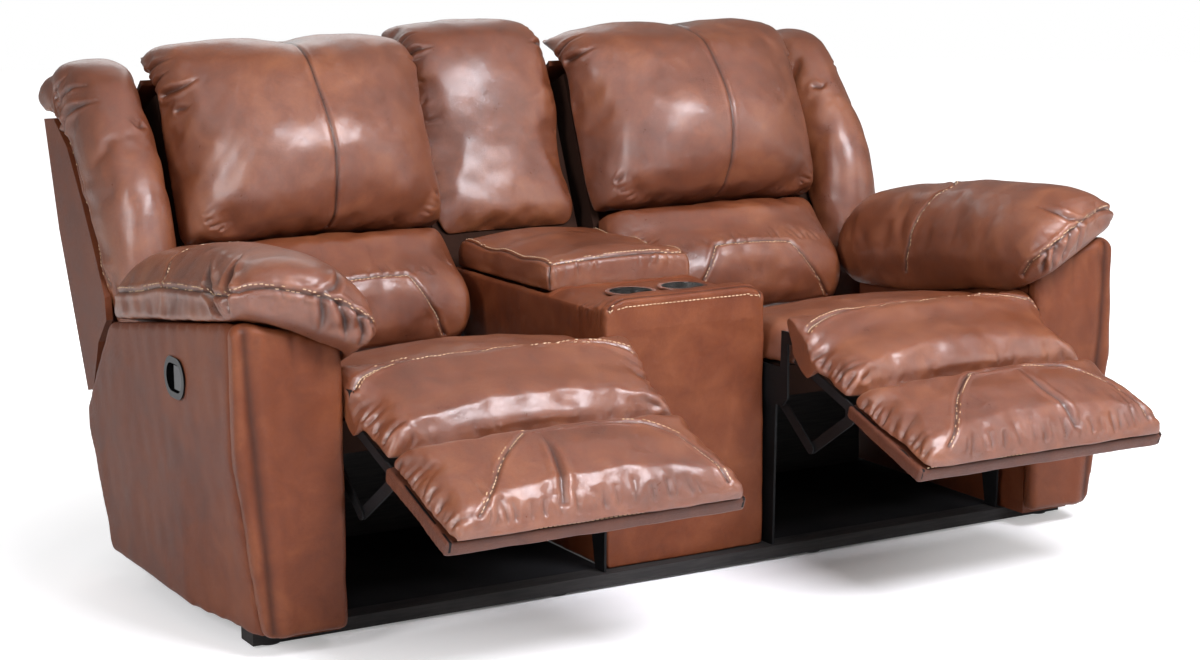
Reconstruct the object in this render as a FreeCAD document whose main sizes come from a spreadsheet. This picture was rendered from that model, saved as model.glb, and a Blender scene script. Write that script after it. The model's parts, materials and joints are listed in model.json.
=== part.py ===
import FreeCAD
import Part
import Sketcher
import math
import os
from FreeCAD import Vector

# Reclining loveseat with a centre console, in millimetres.
# X runs to the viewer's right, the front faces -Y, Z runs up from the floor.
# The right-hand seat is modelled, and the left-hand seat is its mirror image.

SIZES = [
    ("overall_width", 1960, "over the two outer side panels"),
    ("front_y", -411, "place of the arm fronts"),
    ("glide_height", 5, "floor glides"),
    ("glide_radius", 22, "floor glides"),
    ("glide_inset", 40, "glide centre from the end of its rail"),
    ("rail_height", 25, "floor rails"),
    ("front_rail_setback", 93, "front rail behind the arm fronts"),
    ("front_rail_depth", 57, "front to back"),
    ("rear_rail_setback", 620, "rear rail behind the arm fronts"),
    ("rear_rail_depth", 45, "front to back"),
    ("dust_cover", 1.5, "dark cloth over the floor rails"),
    ("rail_end_inset", 50, "rail end inside the side panel's outer face"),
    ("arm_width", 200, "arm front, side to side"),
    ("arm_height", 612, "top of the side panel at the front"),
    ("arm_rear_height", 510, "top of the side panel at its rear corner"),
    ("arm_length", 691, "front to the panel's upper rear corner"),
    ("arm_foot_length", 732, "front to the panel's lower rear corner"),
    ("arm_bulge_length", 862, "front to the panel's rearmost point"),
    ("arm_bulge_height", 300, "height of the panel's rearmost point"),
    ("arm_rear_round", 60, "rounding of the panel's rearmost point"),
    ("arm_front_drop", 45, "fall of the arm front's top towards the seat"),
    ("arm_taper", 50, "how far the outer front edge comes in at the floor"),
    ("arm_taper_height", 350, "where the outer front edge starts to come in"),
    ("arm_taper_length", 300, "how far back the side panel is drawn in"),
    ("floor_gap", 40, "clear height under the leather panels"),
    ("side_panel_thickness", 30, "padded outer side panel"),
    ("arm_front_thickness", 35, "padded arm front"),
    ("arm_front_round", 12, "edge rounding of the arm front"),
    ("board", 18, "frame board thickness"),
    ("post", 60, "arm frame post, front to back"),
    ("arm_board_gap", 3, "arm's inner face to its inner board"),
    ("pad_crown_height", 715, "top of the arm pad near its front"),
    ("pad_nose", 88, "arm pad beyond the arm front"),
    ("pad_slant", 80, "how much less the outer end of the pad's nose stands forward"),
    ("pad_length", 712, "arm front to the pad's rear end"),
    ("pad_inner_overhang", 66, "arm pad beyond the arm's inner face"),
    ("pad_outer_overhang", 8, "arm pad beyond the side panel"),
    ("pad_inner_bottom", 497, "lower edge of the arm pad beside the seat"),
    ("handle_back", 308, "release handle behind the arm front"),
    ("handle_drop", 44, "release handle below the panel's rear corner"),
    ("handle_width", 104, "oval bezel, front to back"),
    ("handle_tall", 77, "oval bezel, up and down"),
    ("handle_rim", 12, "width of the bezel's rim"),
    ("handle_proud", 3, "bezel rim over the panel"),
    ("handle_depth", 22, "finger recess"),
    ("handle_wall", 2, "wall of the finger recess"),
    ("paddle_share", 42, "length of the paddle, front to back"),
    ("paddle_thickness", 6, "release paddle"),
    ("paddle_gap", 1, "paddle to the recess walls"),
    ("paddle_pin_radius", 1.5, "release paddle's pivot pin"),
    ("pin_clearance", 0.05, "radial clearance of a pivot"),
    ("seat_gap", 1.5, "cushion to the console or arm"),
    ("seat_bottom", 404.2, "underside of the seat cushion"),
    ("seat_front", 45, "seat cushion's nose behind the arm fronts"),
    ("seat_rear", 556, "seat cushion's rear end"),
    ("seat_crown", 105, "seat cushion's thickness at its front"),
    ("seat_rear_crown", 36, "seat cushion's thickness at its rear"),
    ("puff", 4, "how far a cushion's side swells"),
    ("shoulder", 42, "rounding at a cushion's upper edge"),
    ("seat_rail_height", 60, "seat frame rails"),
    ("seat_rail_top", 400, "top of the seat frame rails"),
    ("seat_rail_front", 84, "seat frame behind the arm fronts"),
    ("seat_rail_rear", 590, "rear of the seat frame"),
    ("wire", 4, "sinuous spring wire"),
    ("spring_turn", 24, "half the pitch of a spring's bends"),
    ("spring_reach", 18, "half the straight run of a spring's bend"),
    ("seat_spring_count", 4, "springs across a seat"),
    ("back_spring_count", 4, "springs across a back"),
    ("plate_gap", 5, "console or arm to the mechanism plate"),
    ("steel", 5, "mechanism plate"),
    ("flat_steel", 4, "leg-rest bars and links"),
    ("plane_gap", 1, "between neighbouring steel parts"),
    ("frame_gap", 17, "mechanism plate to the seat frame"),
    ("plate_bottom", 325, "lower edge of the mechanism plate"),
    ("horn_half", 18, "half width of the plate's blocks and legs"),
    ("lug_half", 12, "half height of the plate's front lug"),
    ("leg_pivot_back", 0, "leg-rest pivot behind the arm fronts"),
    ("leg_pivot_height", 465, "leg-rest pivot above the floor"),
    ("leg_slope", 19.5, "slope of the open leg rest"),
    ("leg_pin_radius", 6, "leg-rest and recline pivot pins"),
    ("link_pin_radius", 5, "link pins"),
    ("link_pin_out", 190, "link pin along the leg rest"),
    ("link_pin_down", 62, "link pin below the leg-rest pivot line"),
    ("link_ground_back", 140, "fixed link pin behind the leg-rest pivot"),
    ("link_ground_down", 90, "fixed link pin below the leg-rest pivot"),
    ("link_half", 11, "half width of a link"),
    ("open_pin_clearance", 0.6, "clearance of the link joint that closes the loop"),
    ("leg_bar_height", 19, "height of the leg-rest bar"),
    ("leg_bar_top", -36, "top of the bar from the pivot line"),
    ("calf_rear", 62, "calf pad behind the pivot"),
    ("calf_front", 178, "calf pad's front edge from the pivot"),
    ("foot_rear", 186, "footrest pad's rear edge from the pivot"),
    ("foot_front", 440, "footrest pad's front edge from the pivot"),
    ("leg_pad_bottom", -35, "underside of the leg-rest pads"),
    ("leg_pad_edge", 14, "seam height of the leg-rest pads"),
    ("leg_pad_crown", 36, "crown of the leg-rest pads"),
    ("leg_pad_narrow", 12, "calf pad drawn in beside the pivot"),
    ("foot_board_rear", 214, "footrest board's rear edge from the pivot"),
    ("foot_board_front", 428, "footrest board's front edge from the pivot"),
    ("foot_board_thickness", 18, "footrest board"),
    ("back_pivot_back", 720, "recline pivot behind the arm fronts"),
    ("back_pivot_height", 380, "recline pivot above the floor"),
    ("back_tilt", 22, "lean of the backs"),
    ("back_front", 30, "back frame's front face from the pivot line"),
    ("back_frame_top", 600, "top of the back frame along its lean"),
    ("back_rail", 55, "height of the back frame's rails"),
    ("back_depth", 246, "rear face of the back, from the pivot line"),
    ("back_sheet", 12, "outside back panel"),
    ("cover_lip", 66, "front edge of the outside back's top, from the pivot line"),
    ("cover_rise", 44, "outside back above the frame's top"),
    ("cover_chamfer", 21, "outside back drawn in at its top"),
    ("wing_panel_rise", 20, "outside wing panel above the frame's top"),
    ("seam_gap", 1, "wing bolster to the outside wing panel"),
    ("soft_gap", 0.4, "cushion to the boards and panels it lies on"),
    ("back_side_sheet", 14, "outside wing panel"),
    ("wing_outer_inset", 34, "wing inside the side panel's outer face"),
    ("wing_inner_gap", 5, "wing to the arm's inner face"),
    ("wing_front", 88, "wing bolster's front from the pivot line"),
    ("head_bottom", 263, "head cushion's lower edge along the lean"),
    ("head_top", 716, "head cushion's top along the lean"),
    ("head_crown", 184, "head cushion's front from the pivot line"),
    ("head_channel", 5, "depth of the head cushion's centre seam"),
    ("lumbar_bottom", 2, "lumbar cushion's lower edge along the lean"),
    ("lumbar_top", 256, "lumbar cushion's upper edge along the lean"),
    ("lumbar_crown", 194, "lumbar cushion's front from the pivot line"),
    ("lumbar_narrow", 72, "lumbar cushion drawn in beside the arm"),
    ("console_width", 366, "console, side to side"),
    ("console_setback", 119, "console front behind the arm fronts"),
    ("console_panel", 15, "padded console front"),
    ("console_board", 15, "console boards"),
    ("console_length", 784, "arm fronts to the console's rear board"),
    ("console_height", 540, "top of the console's side boards"),
    ("deck_rear", 366, "deck's rear edge behind the arm fronts"),
    ("deck_sink", 15, "underside of the deck below the side boards' top"),
    ("deck_rise", 13, "flat top of the deck above the side boards"),
    ("deck_flat", 240, "width of the deck's flat top"),
    ("cup_spacing", 120, "between the cup holders"),
    ("cup_back", 232, "cup holders behind the arm fronts"),
    ("cup_radius", 44, "outside of the cup"),
    ("cup_rim_radius", 51, "outside of the cup's rim"),
    ("cup_rim", 3, "thickness of the cup's rim"),
    ("cup_wall", 1.5, "cup wall"),
    ("cup_depth", 72, "depth of the cup"),
    ("cup_gap", 1, "cup to the deck"),
    ("bin_depth", 210, "storage bin's floor below the side boards' top"),
    ("lid_front_gap", 5, "lid's front edge behind the deck's rear edge"),
    ("lid_overhang", 4, "lid's rear edge behind the console's rear board"),
    ("lid_gap", 1, "lid to the console"),
    ("lid_half", 168, "half width of the lid board"),
    ("lid_pad_height", 62, "lid's pad at its crown"),
    ("lid_edge_drop", 18, "lid's upper seam below its crown"),
    ("hinge_radius", 5, "lid hinge knuckle"),
    ("hinge_pin_radius", 2.5, "lid hinge pin"),
    ("hinge_leaf", 2, "hinge leaf"),
    ("hinge_reach", 26, "hinge leaf from the pin"),
    ("console_back_half", 178, "half width of the console's back pad"),
    ("console_back_gap", 62, "console back board behind the console's rear board"),
    ("console_back_foot", 60, "rear sheet's foot behind the console back board"),
    ("console_back_top", 950, "top of the console's back frame"),
    ("console_back_depth", 106, "console's back frame at its top, front to back"),
    ("console_pad_bottom", 84, "console back pad's lower edge along the lean"),
    ("console_pad_crown", 75, "console back pad's front from its board"),
    ("console_pad_rise", 130, "console back pad above its frame along the lean"),
]

PLACES = [
    ("half_width", "Sizes.overall_width / 2"),
    ("arm_inner_x", "half_width - Sizes.arm_width"),
    ("arm_skin_x", "half_width - Sizes.side_panel_thickness"),
    ("console_half", "Sizes.console_width / 2"),
    ("seat_x", "(arm_inner_x + console_half) / 2"),
    ("seat_half", "(arm_inner_x - console_half) / 2 - Sizes.seat_gap - Sizes.puff"),
    ("rail_top", "Sizes.glide_height + Sizes.rail_height"),
    ("arm_slope", "(Sizes.arm_height - Sizes.arm_rear_height) / Sizes.arm_length"),
    ("plate_x", "console_half + Sizes.plate_gap"),
    ("bar_x", "plate_x + Sizes.steel + Sizes.plane_gap"),
    ("rocker_x", "bar_x + Sizes.flat_steel + Sizes.plane_gap"),
    ("coupler_x", "rocker_x + Sizes.flat_steel + Sizes.plane_gap"),
    ("seat_rail_x", "plate_x + Sizes.steel + Sizes.frame_gap"),
    ("leg_y", "Sizes.front_y + Sizes.leg_pivot_back"),
    ("leg_z", "Sizes.leg_pivot_height"),
    ("ground_y", "leg_y + Sizes.link_ground_back"),
    ("ground_z", "leg_z - Sizes.link_ground_down"),
    ("link_length", "sqrt(Sizes.link_pin_out ^ 2 + Sizes.link_pin_down ^ 2)"),
    ("rocker_turn", "Sizes.leg_slope + atan(Sizes.link_pin_down / Sizes.link_pin_out) / 1 deg"),
    ("coupler_length", "sqrt(Sizes.link_ground_back ^ 2 + Sizes.link_ground_down ^ 2)"),
    ("coupler_turn", "180 - atan(Sizes.link_ground_down / Sizes.link_ground_back) / 1 deg"),
    ("coupler_y", "leg_y - link_length * cos(rocker_turn * 1 deg)"),
    ("coupler_z", "leg_z - link_length * sin(rocker_turn * 1 deg)"),
    ("back_y", "Sizes.front_y + Sizes.back_pivot_back"),
    ("back_z", "Sizes.back_pivot_height"),
    ("bracket_x", "plate_x + Sizes.steel + Sizes.plane_gap"),
    ("stile_x", "bracket_x + Sizes.steel"),
    ("wing_outer_x", "half_width - Sizes.wing_outer_inset"),
    ("wing_inner_x", "arm_inner_x + Sizes.wing_inner_gap"),
    ("handle_y", "Sizes.front_y + Sizes.handle_back"),
    ("handle_z", "Sizes.arm_rear_height - Sizes.handle_drop"),
    ("deck_front_y", "Sizes.front_y + Sizes.console_setback"),
    ("deck_rear_y", "Sizes.front_y + Sizes.deck_rear"),
    ("box_front_y", "deck_front_y + Sizes.console_panel"),
    ("box_rear_y", "Sizes.front_y + Sizes.console_length"),
    ("deck_bottom", "Sizes.console_height - Sizes.deck_sink"),
    ("deck_top", "Sizes.console_height + Sizes.deck_rise"),
    ("bin_floor", "Sizes.console_height - Sizes.bin_depth"),
    ("lid_front_y", "deck_rear_y + Sizes.lid_front_gap"),
    ("lid_rear_y", "box_rear_y + Sizes.lid_overhang"),
    ("console_back_y", "box_rear_y + Sizes.console_back_gap"),
    ("lid_bottom", "Sizes.console_height + Sizes.lid_gap"),
    ("hinge_y", "lid_rear_y + Sizes.hinge_radius + Sizes.lid_gap"),
    ("hinge_z", "lid_bottom + Sizes.hinge_radius"),
    ("cup_x", "Sizes.cup_spacing / 2"),
    ("cup_y", "Sizes.front_y + Sizes.cup_back"),
]

doc = FreeCAD.newDocument("reclining_loveseat")
nodes = {}


def make_sheet(name):
    return doc.addObject("Spreadsheet::Sheet", name)


sizes = make_sheet("Sizes")
for row, (alias, size, note) in enumerate(SIZES, start=1):
    sizes.set(f"A{row}", alias.replace("_", " "))
    sizes.set(f"B{row}", str(size))
    sizes.setAlias(f"B{row}", alias)
    sizes.set(f"C{row}", note)
places = make_sheet("Places")
for row, (alias, formula) in enumerate(PLACES, start=1):
    places.set(f"A{row}", alias.replace("_", " "))
    places.set(f"B{row}", "=" + formula)
    places.setAlias(f"B{row}", alias)
doc.recompute()


class Cells:
    """Numbers read from the two sheets by alias."""

    def __getattr__(self, alias):
        sheet = sizes if sizes.getCellFromAlias(alias) else places
        return float(getattr(sheet, alias))


at = Cells()

X_AXIS = Vector(1, 0, 0)
Y_AXIS = Vector(0, 1, 0)
Z_AXIS = Vector(0, 0, 1)
ORIGIN = Vector(0, 0, 0)


# Helpers that bind shapes to the sheets

def front(distance):
    """Expression for a place behind the arm fronts."""
    return f"Sizes.front_y + ({distance})"


def put(thing, base, turn=None):
    """Bind a Placement: a base of three expressions and a turn about X."""
    if turn is not None:
        thing.Placement = FreeCAD.Placement(ORIGIN, FreeCAD.Rotation(X_AXIS, 1))
        thing.setExpression("Placement.Rotation.Angle", turn)
    for letter, place in zip("xyz", base):
        thing.setExpression(f"Placement.Base.{letter}", str(place))
    return thing


def box(name, low, high):
    """Board between two corners, each given as three expressions."""
    solid = doc.addObject("Part::Box", name)
    for side, start, end in zip(("Length", "Width", "Height"), low, high):
        solid.setExpression(side, f"({end}) - ({start})")
    return put(solid, low)


def rod(name, radius, length, base):
    """Round bar along X from its base."""
    solid = doc.addObject("Part::Cylinder", name)
    solid.setExpression("Radius", radius)
    solid.setExpression("Height", length)
    solid.Placement = FreeCAD.Placement(ORIGIN, FreeCAD.Rotation(Y_AXIS, 90))
    return put(solid, base)


def post(name, radius, length, base):
    """Round bar along Z from its base."""
    solid = doc.addObject("Part::Cylinder", name)
    solid.setExpression("Radius", radius)
    solid.setExpression("Height", length)
    return put(solid, base)


def group(name, members):
    """Separate solids that share one node."""
    solid = doc.addObject("Part::Compound", name)
    solid.Links = members
    return solid


def fuse(name, members):
    solid = doc.addObject("Part::MultiFuse", name)
    solid.Shapes = members
    return solid


def cut(name, base, tool):
    solid = doc.addObject("Part::Cut", name)
    solid.Base = base
    solid.Tool = tool
    return solid


def plate(name, corners, start, thickness, plane="YZ_Plane"):
    """Pad of a closed outline of straight lines.

    In the YZ plane a corner is (y, z) and the pad grows towards +X from start.
    In the XZ plane a corner is (x, z) and the pad grows towards +Y from start.
    """
    body = doc.addObject("PartDesign::Body", name)
    sketch = body.newObject("Sketcher::SketchObject", name + "_outline")
    support = [f for f in body.Origin.OriginFeatures if f.Role == plane][0]
    sketch.AttachmentSupport = [(support, "")]
    sketch.MapMode = "FlatFace"
    sign = "" if plane == "YZ_Plane" else "-1 * "
    sketch.setExpression("AttachmentOffset.Base.z", f"{sign}({start})")
    count = len(corners)
    spots = [
        Vector(1000 * math.cos(2 * math.pi * i / count), 1000 * math.sin(2 * math.pi * i / count), 0)
        for i in range(count)
    ]
    for i in range(count):
        sketch.addGeometry(Part.LineSegment(spots[i], spots[(i + 1) % count]), False)
    for i in range(count):
        sketch.addConstraint(Sketcher.Constraint("Coincident", i, 2, (i + 1) % count, 1))
    for i, corner in enumerate(corners):
        for kind, spot, place in zip(("DistanceX", "DistanceY"), (spots[i].x, spots[i].y), corner):
            k = sketch.addConstraint(Sketcher.Constraint(kind, -1, 1, i, 1, spot))
            sketch.setExpression(f"Constraints[{k}]", str(place))
    pad = body.newObject("PartDesign::Pad", name + "_pad")
    pad.Profile = sketch
    pad.setExpression("Length", thickness)
    pad.Reversed = plane != "YZ_Plane"
    doc.recompute()
    return body


def round_edges(body, direction, radius, pick):
    """Fillet a plate's edges along one direction that the test picks."""
    base = body.Tip
    names = []
    for i, edge in enumerate(base.Shape.Edges, start=1):
        ends = [v.Point for v in edge.Vertexes]
        along = (ends[-1] - ends[0])
        if along.Length > 0 and along.cross(direction).Length < 1e-6 and pick(ends[0]):
            names.append(f"Edge{i}")
    fillet = body.newObject("PartDesign::Fillet", body.Name + "_round")
    fillet.Base = (base, names)
    fillet.setExpression("Radius", radius)
    doc.recompute()
    return body


def feature(name, shape):
    """Sub-part whose form only its own outline code can give."""
    solid = doc.addObject("Part::Feature", name)
    solid.Shape = shape
    return solid


def twin(name, thing):
    """A seat's inner and outer copies, mirrored about the seat's middle."""
    copy = doc.addObject("Part::Mirroring", name + "_twin")
    copy.Source = thing
    copy.Normal = X_AXIS
    copy.setExpression("Base.x", "Places.seat_x")
    return group(name, [thing, copy])


def both_sides(name, thing):
    """A piece of the right-hand seat and its mirror image."""
    copy = doc.addObject("Part::Mirroring", name + "_left")
    copy.Source = thing
    copy.Normal = X_AXIS
    return [thing, copy]


def keep(name, thing):
    """Name a finished centre sub-part."""
    thing.Label = name
    nodes[name] = thing
    return thing


def keep_sides(name, thing):
    """Name a finished right-hand sub-part and mirror it to the left."""
    keep("right_" + name, thing)
    copy = doc.addObject("Part::Mirroring", "left_" + name)
    copy.Source = thing
    copy.Normal = X_AXIS
    keep("left_" + name, copy)


# Cushions are lofts through closed outlines of arcs and one straight line

def arc(a, b, c):
    return Part.Arc(a, b, c).toShape()


def cushion_outline(middle, along, half, base, edge, crown, options):
    """One cross-section of a cushion.

    half is the half width, base the height of its flat side, edge the height
    of its shoulders and crown its highest point. The shoulder may differ on
    the outer side, and a channel lowers the middle of the crown.
    """
    shoulder = options.get("shoulder", at.shoulder)
    outer = options.get("outer_shoulder", shoulder)
    puff = options.get("puff", at.puff)
    channel = options.get("channel", 0)
    standing = options.get("standing", False)

    def point(across, up):
        if standing:
            return Vector(middle + across, -up, along)
        return Vector(middle + across, along, up)

    waist = (base + edge) / 2
    left = point(-half + shoulder, edge)
    right = point(half - outer, edge)
    low_left = point(-half, base)
    low_right = point(half, base)
    edges = [
        Part.makeLine(low_left, low_right),
        arc(low_right, point(half + puff - outer * 0.2, waist), right),
    ]
    if channel:
        valley = point(0, crown - channel)
        edges.append(arc(right, point((half - outer) * 0.52, edge + (crown - edge) * 0.86), valley))
        edges.append(arc(valley, point(-(half - shoulder) * 0.52, edge + (crown - edge) * 0.86), left))
    else:
        edges.append(arc(right, point((shoulder - outer) / 2, crown), left))
    edges.append(arc(left, point(-half - puff + shoulder * 0.2, waist), low_left))
    return Part.Wire(edges)


def cushion(middle, stations, **options):
    """Smooth solid through cross-sections at stations along the cushion."""
    wires = [cushion_outline(middle, *station, options) for station in stations]
    return Part.makeLoft(wires, True, False)


def block(low, high):
    """Plain solid between two corners, for trimming a soft form."""
    size = high - low
    return Part.makeBox(size.x, size.y, size.z, low)


# Base: floor rails on glides, rear boards between the mechanism's legs, and dust covers

def make_base():
    end = "Places.half_width - Sizes.rail_end_inset"
    rails = []
    glides = []
    for name in ("front_rail", "rear_rail"):
        setback = f"Sizes.{name}_setback"
        depth = f"Sizes.{name}_depth"
        low = (f"-({end})", front(setback), "Sizes.glide_height")
        high = (end, front(f"{setback} + {depth}"), "Places.rail_top")
        rails.append(box("base_" + name, low, high))
        for i in range(4):
            x = f"({end} - Sizes.glide_inset) * ({2 * i - 3} / 3)"
            y = front(f"{setback} + {depth} / 2")
            glides.append(post(f"glide_{name}_{i}", "Sizes.glide_radius", "Sizes.glide_height", (x, y, "0")))
    x0 = "Places.plate_x + 2 * Sizes.steel"
    x1 = f"2 * Places.seat_x - ({x0})"
    y1 = front("Sizes.rear_rail_setback")
    rear = box(
        "rear_board",
        (x0, f"{y1} - Sizes.board", "Places.rail_top"),
        (x1, y1, "Sizes.plate_bottom - Sizes.board"),
    )
    keep("base_rails", group("base_rails", rails + both_sides("rear_board", rear)))
    keep("floor_glides", group("floor_glides", glides))
    cover = box(
        "dust_cover",
        ("Places.console_half + Sizes.plate_gap / 2",
         front("Sizes.front_rail_setback + 0.85 * Sizes.front_rail_depth"), "Places.rail_top"),
        ("Places.arm_inner_x", f"{y1} - Sizes.board - Sizes.plane_gap", "Places.rail_top + Sizes.dust_cover"),
    )
    keep("dust_covers", group("dust_covers", both_sides("dust_cover", cover)))


# Arms

def arm_top(distance):
    """Expression for the height of the arm's sloping top behind its front."""
    return f"Sizes.arm_height - Places.arm_slope * ({distance})"


def make_arm_frame():
    inner = "Places.arm_inner_x + Sizes.arm_board_gap"
    skin = "Places.arm_skin_x"
    first = "Sizes.arm_front_thickness"
    last = "Sizes.arm_length - Sizes.post"
    sheet = plate(
        "arm_inner_board",
        [
            (front(first), "Places.rail_top"),
            (front(last), "Places.rail_top"),
            (front(last), arm_top(last) + " - Sizes.arm_front_drop - Sizes.board"),
            (front(first), arm_top(first) + " - Sizes.arm_front_drop - Sizes.board"),
        ],
        inner,
        "Sizes.board",
    )
    top = plate(
        "arm_top_board",
        [
            (front(first), arm_top(first) + " - Sizes.arm_front_drop - Sizes.board"),
            (front(last), arm_top(last) + " - Sizes.arm_front_drop - Sizes.board"),
            (front(last), arm_top(last) + " - Sizes.arm_front_drop"),
            (front(first), arm_top(first) + " - Sizes.arm_front_drop"),
        ],
        inner,
        f"{skin} - ({inner})",
    )
    post_low = f"{inner} + Sizes.board"
    front_post = box(
        "arm_front_post",
        (post_low, front(first), "Places.rail_top"),
        (f"{skin} - Sizes.arm_taper", front(f"{first} + Sizes.post"), arm_top(last) + " - Sizes.arm_front_drop - Sizes.board"),
    )
    rear_post = box(
        "arm_rear_post",
        (post_low, front(f"{last} - Sizes.post"), "Places.rail_top"),
        (skin, front(last), arm_top(last) + " - Sizes.arm_front_drop - Sizes.board"),
    )
    keep_sides("arm_frame", group("arm_frame_boards", [sheet, top, front_post, rear_post]))


def arm_outline():
    """Side view of an arm, as corners of (y, z)."""
    return [
        (front("Sizes.arm_front_thickness"), "Sizes.floor_gap"),
        (front("Sizes.arm_foot_length"), "Sizes.floor_gap"),
        (front("Sizes.arm_bulge_length"), "Sizes.arm_bulge_height"),
        (front("Sizes.arm_length"), "Sizes.arm_rear_height"),
        (front("Sizes.arm_front_thickness"), arm_top("Sizes.arm_front_thickness")),
    ]


def make_side_panel():
    whole = plate("side_outline", arm_outline(), "Places.arm_skin_x - Sizes.arm_taper", "Sizes.arm_taper + 100")
    round_edges(whole, X_AXIS, "Sizes.arm_rear_round", lambda p: p.y > at.front_y + at.arm_bulge_length - 1)
    outer = at.half_width
    thick = at.side_panel_thickness
    y0 = at.front_y
    sections = []
    for distance, taper in ((0, at.arm_taper), (at.arm_taper_length, 0), (at.arm_bulge_length + 50, 0)):
        y = y0 + distance
        knee = at.arm_taper_height
        corners = [
            Vector(outer - thick, y, 0.9 * at.arm_height + 200),
            Vector(outer - thick, y, knee),
            Vector(outer - thick - taper, y, 0),
            Vector(outer - taper, y, 0),
            Vector(outer, y, knee),
            Vector(outer, y, 0.9 * at.arm_height + 200),
        ]
        sections.append(Part.makePolygon(corners + corners[:1]))
    slab = feature("side_slab", Part.makeLoft(sections, True, True))
    panel = doc.addObject("Part::Common", "side_panel_skin")
    panel.Base = whole
    panel.Tool = slab
    width = "Sizes.handle_width - 2 * Sizes.handle_rim"
    tall = "Sizes.handle_tall - 2 * Sizes.handle_rim"
    hole = oval("panel_hole", f"{width} + 2 * Sizes.handle_wall", f"{tall} + 2 * Sizes.handle_wall",
                "Places.half_width - Sizes.side_panel_thickness - 1", "Sizes.side_panel_thickness + 2")
    keep_sides("side_panel", cut("side_panel_cut", panel, hole))


def make_arm_front():
    inner = "Places.arm_inner_x"
    outer = "Places.half_width"
    body = plate(
        "arm_front_pad",
        [
            (inner, "Sizes.floor_gap"),
            (f"{outer} - Sizes.arm_taper * (1 - Sizes.floor_gap / Sizes.arm_taper_height)", "Sizes.floor_gap"),
            (outer, "Sizes.arm_taper_height"),
            (outer, arm_top("Sizes.arm_front_thickness")),
            ("Places.arm_skin_x", arm_top("Sizes.arm_front_thickness")),
            (inner, arm_top("Sizes.arm_front_thickness") + " - Sizes.arm_front_drop"),
        ],
        "Sizes.front_y",
        "Sizes.arm_front_thickness",
        plane="XZ_Plane",
    )
    round_edges(body, Y_AXIS, "Sizes.arm_front_round", lambda p: p.z > at.arm_taper_height + 1)
    keep_sides("arm_front", body)


def make_arm_pad():
    inner = at.arm_inner_x
    outer = at.half_width
    crown = at.pad_crown_height
    low = at.pad_inner_bottom
    length = at.pad_length + at.pad_nose
    bulge = at.pad_inner_overhang
    # Share of the length, crown, inner bulge and its height, outer edge, shoulder, outer foot, inner foot
    shape = [
        (0.000, -46, 0.30, -116, -16, -66, -86, 84),
        (0.015, -20, 0.52, -116, -4, -52, -86, 62),
        (0.060, -4, 0.72, -124, 5, -48, -100, 44),
        (0.120, 0, 0.86, -130, 8, -58, -116, 24),
        (0.270, -2, 1.00, -140, 8, -70, -140, 6),
        (0.485, -15, 1.00, -156, 8, -88, -160, -17),
        (0.710, -40, 1.00, -172, 6, -112, -184, -34),
        (0.885, -66, 0.76, -190, 3, -140, -206, -42),
        (0.965, -96, 0.40, -200, -6, -164, -214, -40),
        (1.000, -132, 0.22, -196, -20, -178, -212, -30),
    ]
    wires = []
    for share, top, lean, in_z, out_x, shoulder, foot, in_foot in shape:
        y = at.front_y - at.pad_nose + share * length
        slant = at.pad_slant * max(0, 1 - share / 0.3) / (outer - inner + bulge)

        def point(x, z):
            return Vector(x, y + slant * (x - inner + bulge), z)

        apex = point((inner + outer) / 2, crown + top)
        inside = point(inner - lean * bulge, crown + in_z)
        outside = point(outer + out_x, crown + shoulder)
        heel = point(outer + out_x - 8, crown + foot)
        toe = point(inner - 0.4 * lean * bulge + 10, low + in_foot)
        side = point(outer + out_x - 1, crown + (shoulder + foot) / 2)
        belly = point((inside.x + toe.x) / 2 - 6, (inside.z + toe.z) / 2 - 3)
        wires.append(Part.Wire([
            Part.makeLine(toe, heel),
            arc(heel, side, outside),
            arc(outside, apex, inside),
            arc(inside, belly, toe),
        ]))
    soft = Part.makeLoft(wires, True, False)
    # The pad lies on the arm's sloping top and hangs over its inner face
    bodies = []
    for distance in (0, at.pad_length + at.pad_nose):
        y = at.front_y + distance
        top = at.arm_height - at.arm_slope * distance
        corners = [
            Vector(inner, y, 0),
            Vector(outer + 100, y, 0),
            Vector(outer + 100, y, top),
            Vector(at.arm_skin_x, y, top),
            Vector(inner, y, top - at.arm_front_drop),
        ]
        bodies.append(Part.makePolygon(corners + corners[:1]))
    arm = Part.makeLoft(bodies, True, True)
    keep_sides("arm_pad", feature("arm_pad_form", soft.cut(arm)))


def oval(name, width, tall, start, depth):
    """Oval prism along X at the release handle: two half rounds and a bar."""
    radius = f"({tall}) / 2"
    reach = f"(({width}) - ({tall})) / 2"
    ends = []
    for sign in (-1, 1):
        base = (start, f"Places.handle_y + {sign} * {reach}", "Places.handle_z")
        ends.append(rod(f"{name}_end_{sign + 1}", radius, depth, base))
    bar = box(
        name + "_bar",
        (start, f"Places.handle_y - {reach}", f"Places.handle_z - {radius}"),
        (f"{start} + {depth}", f"Places.handle_y + {reach}", f"Places.handle_z + {radius}"),
    )
    return fuse(name, ends + [bar])


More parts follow.
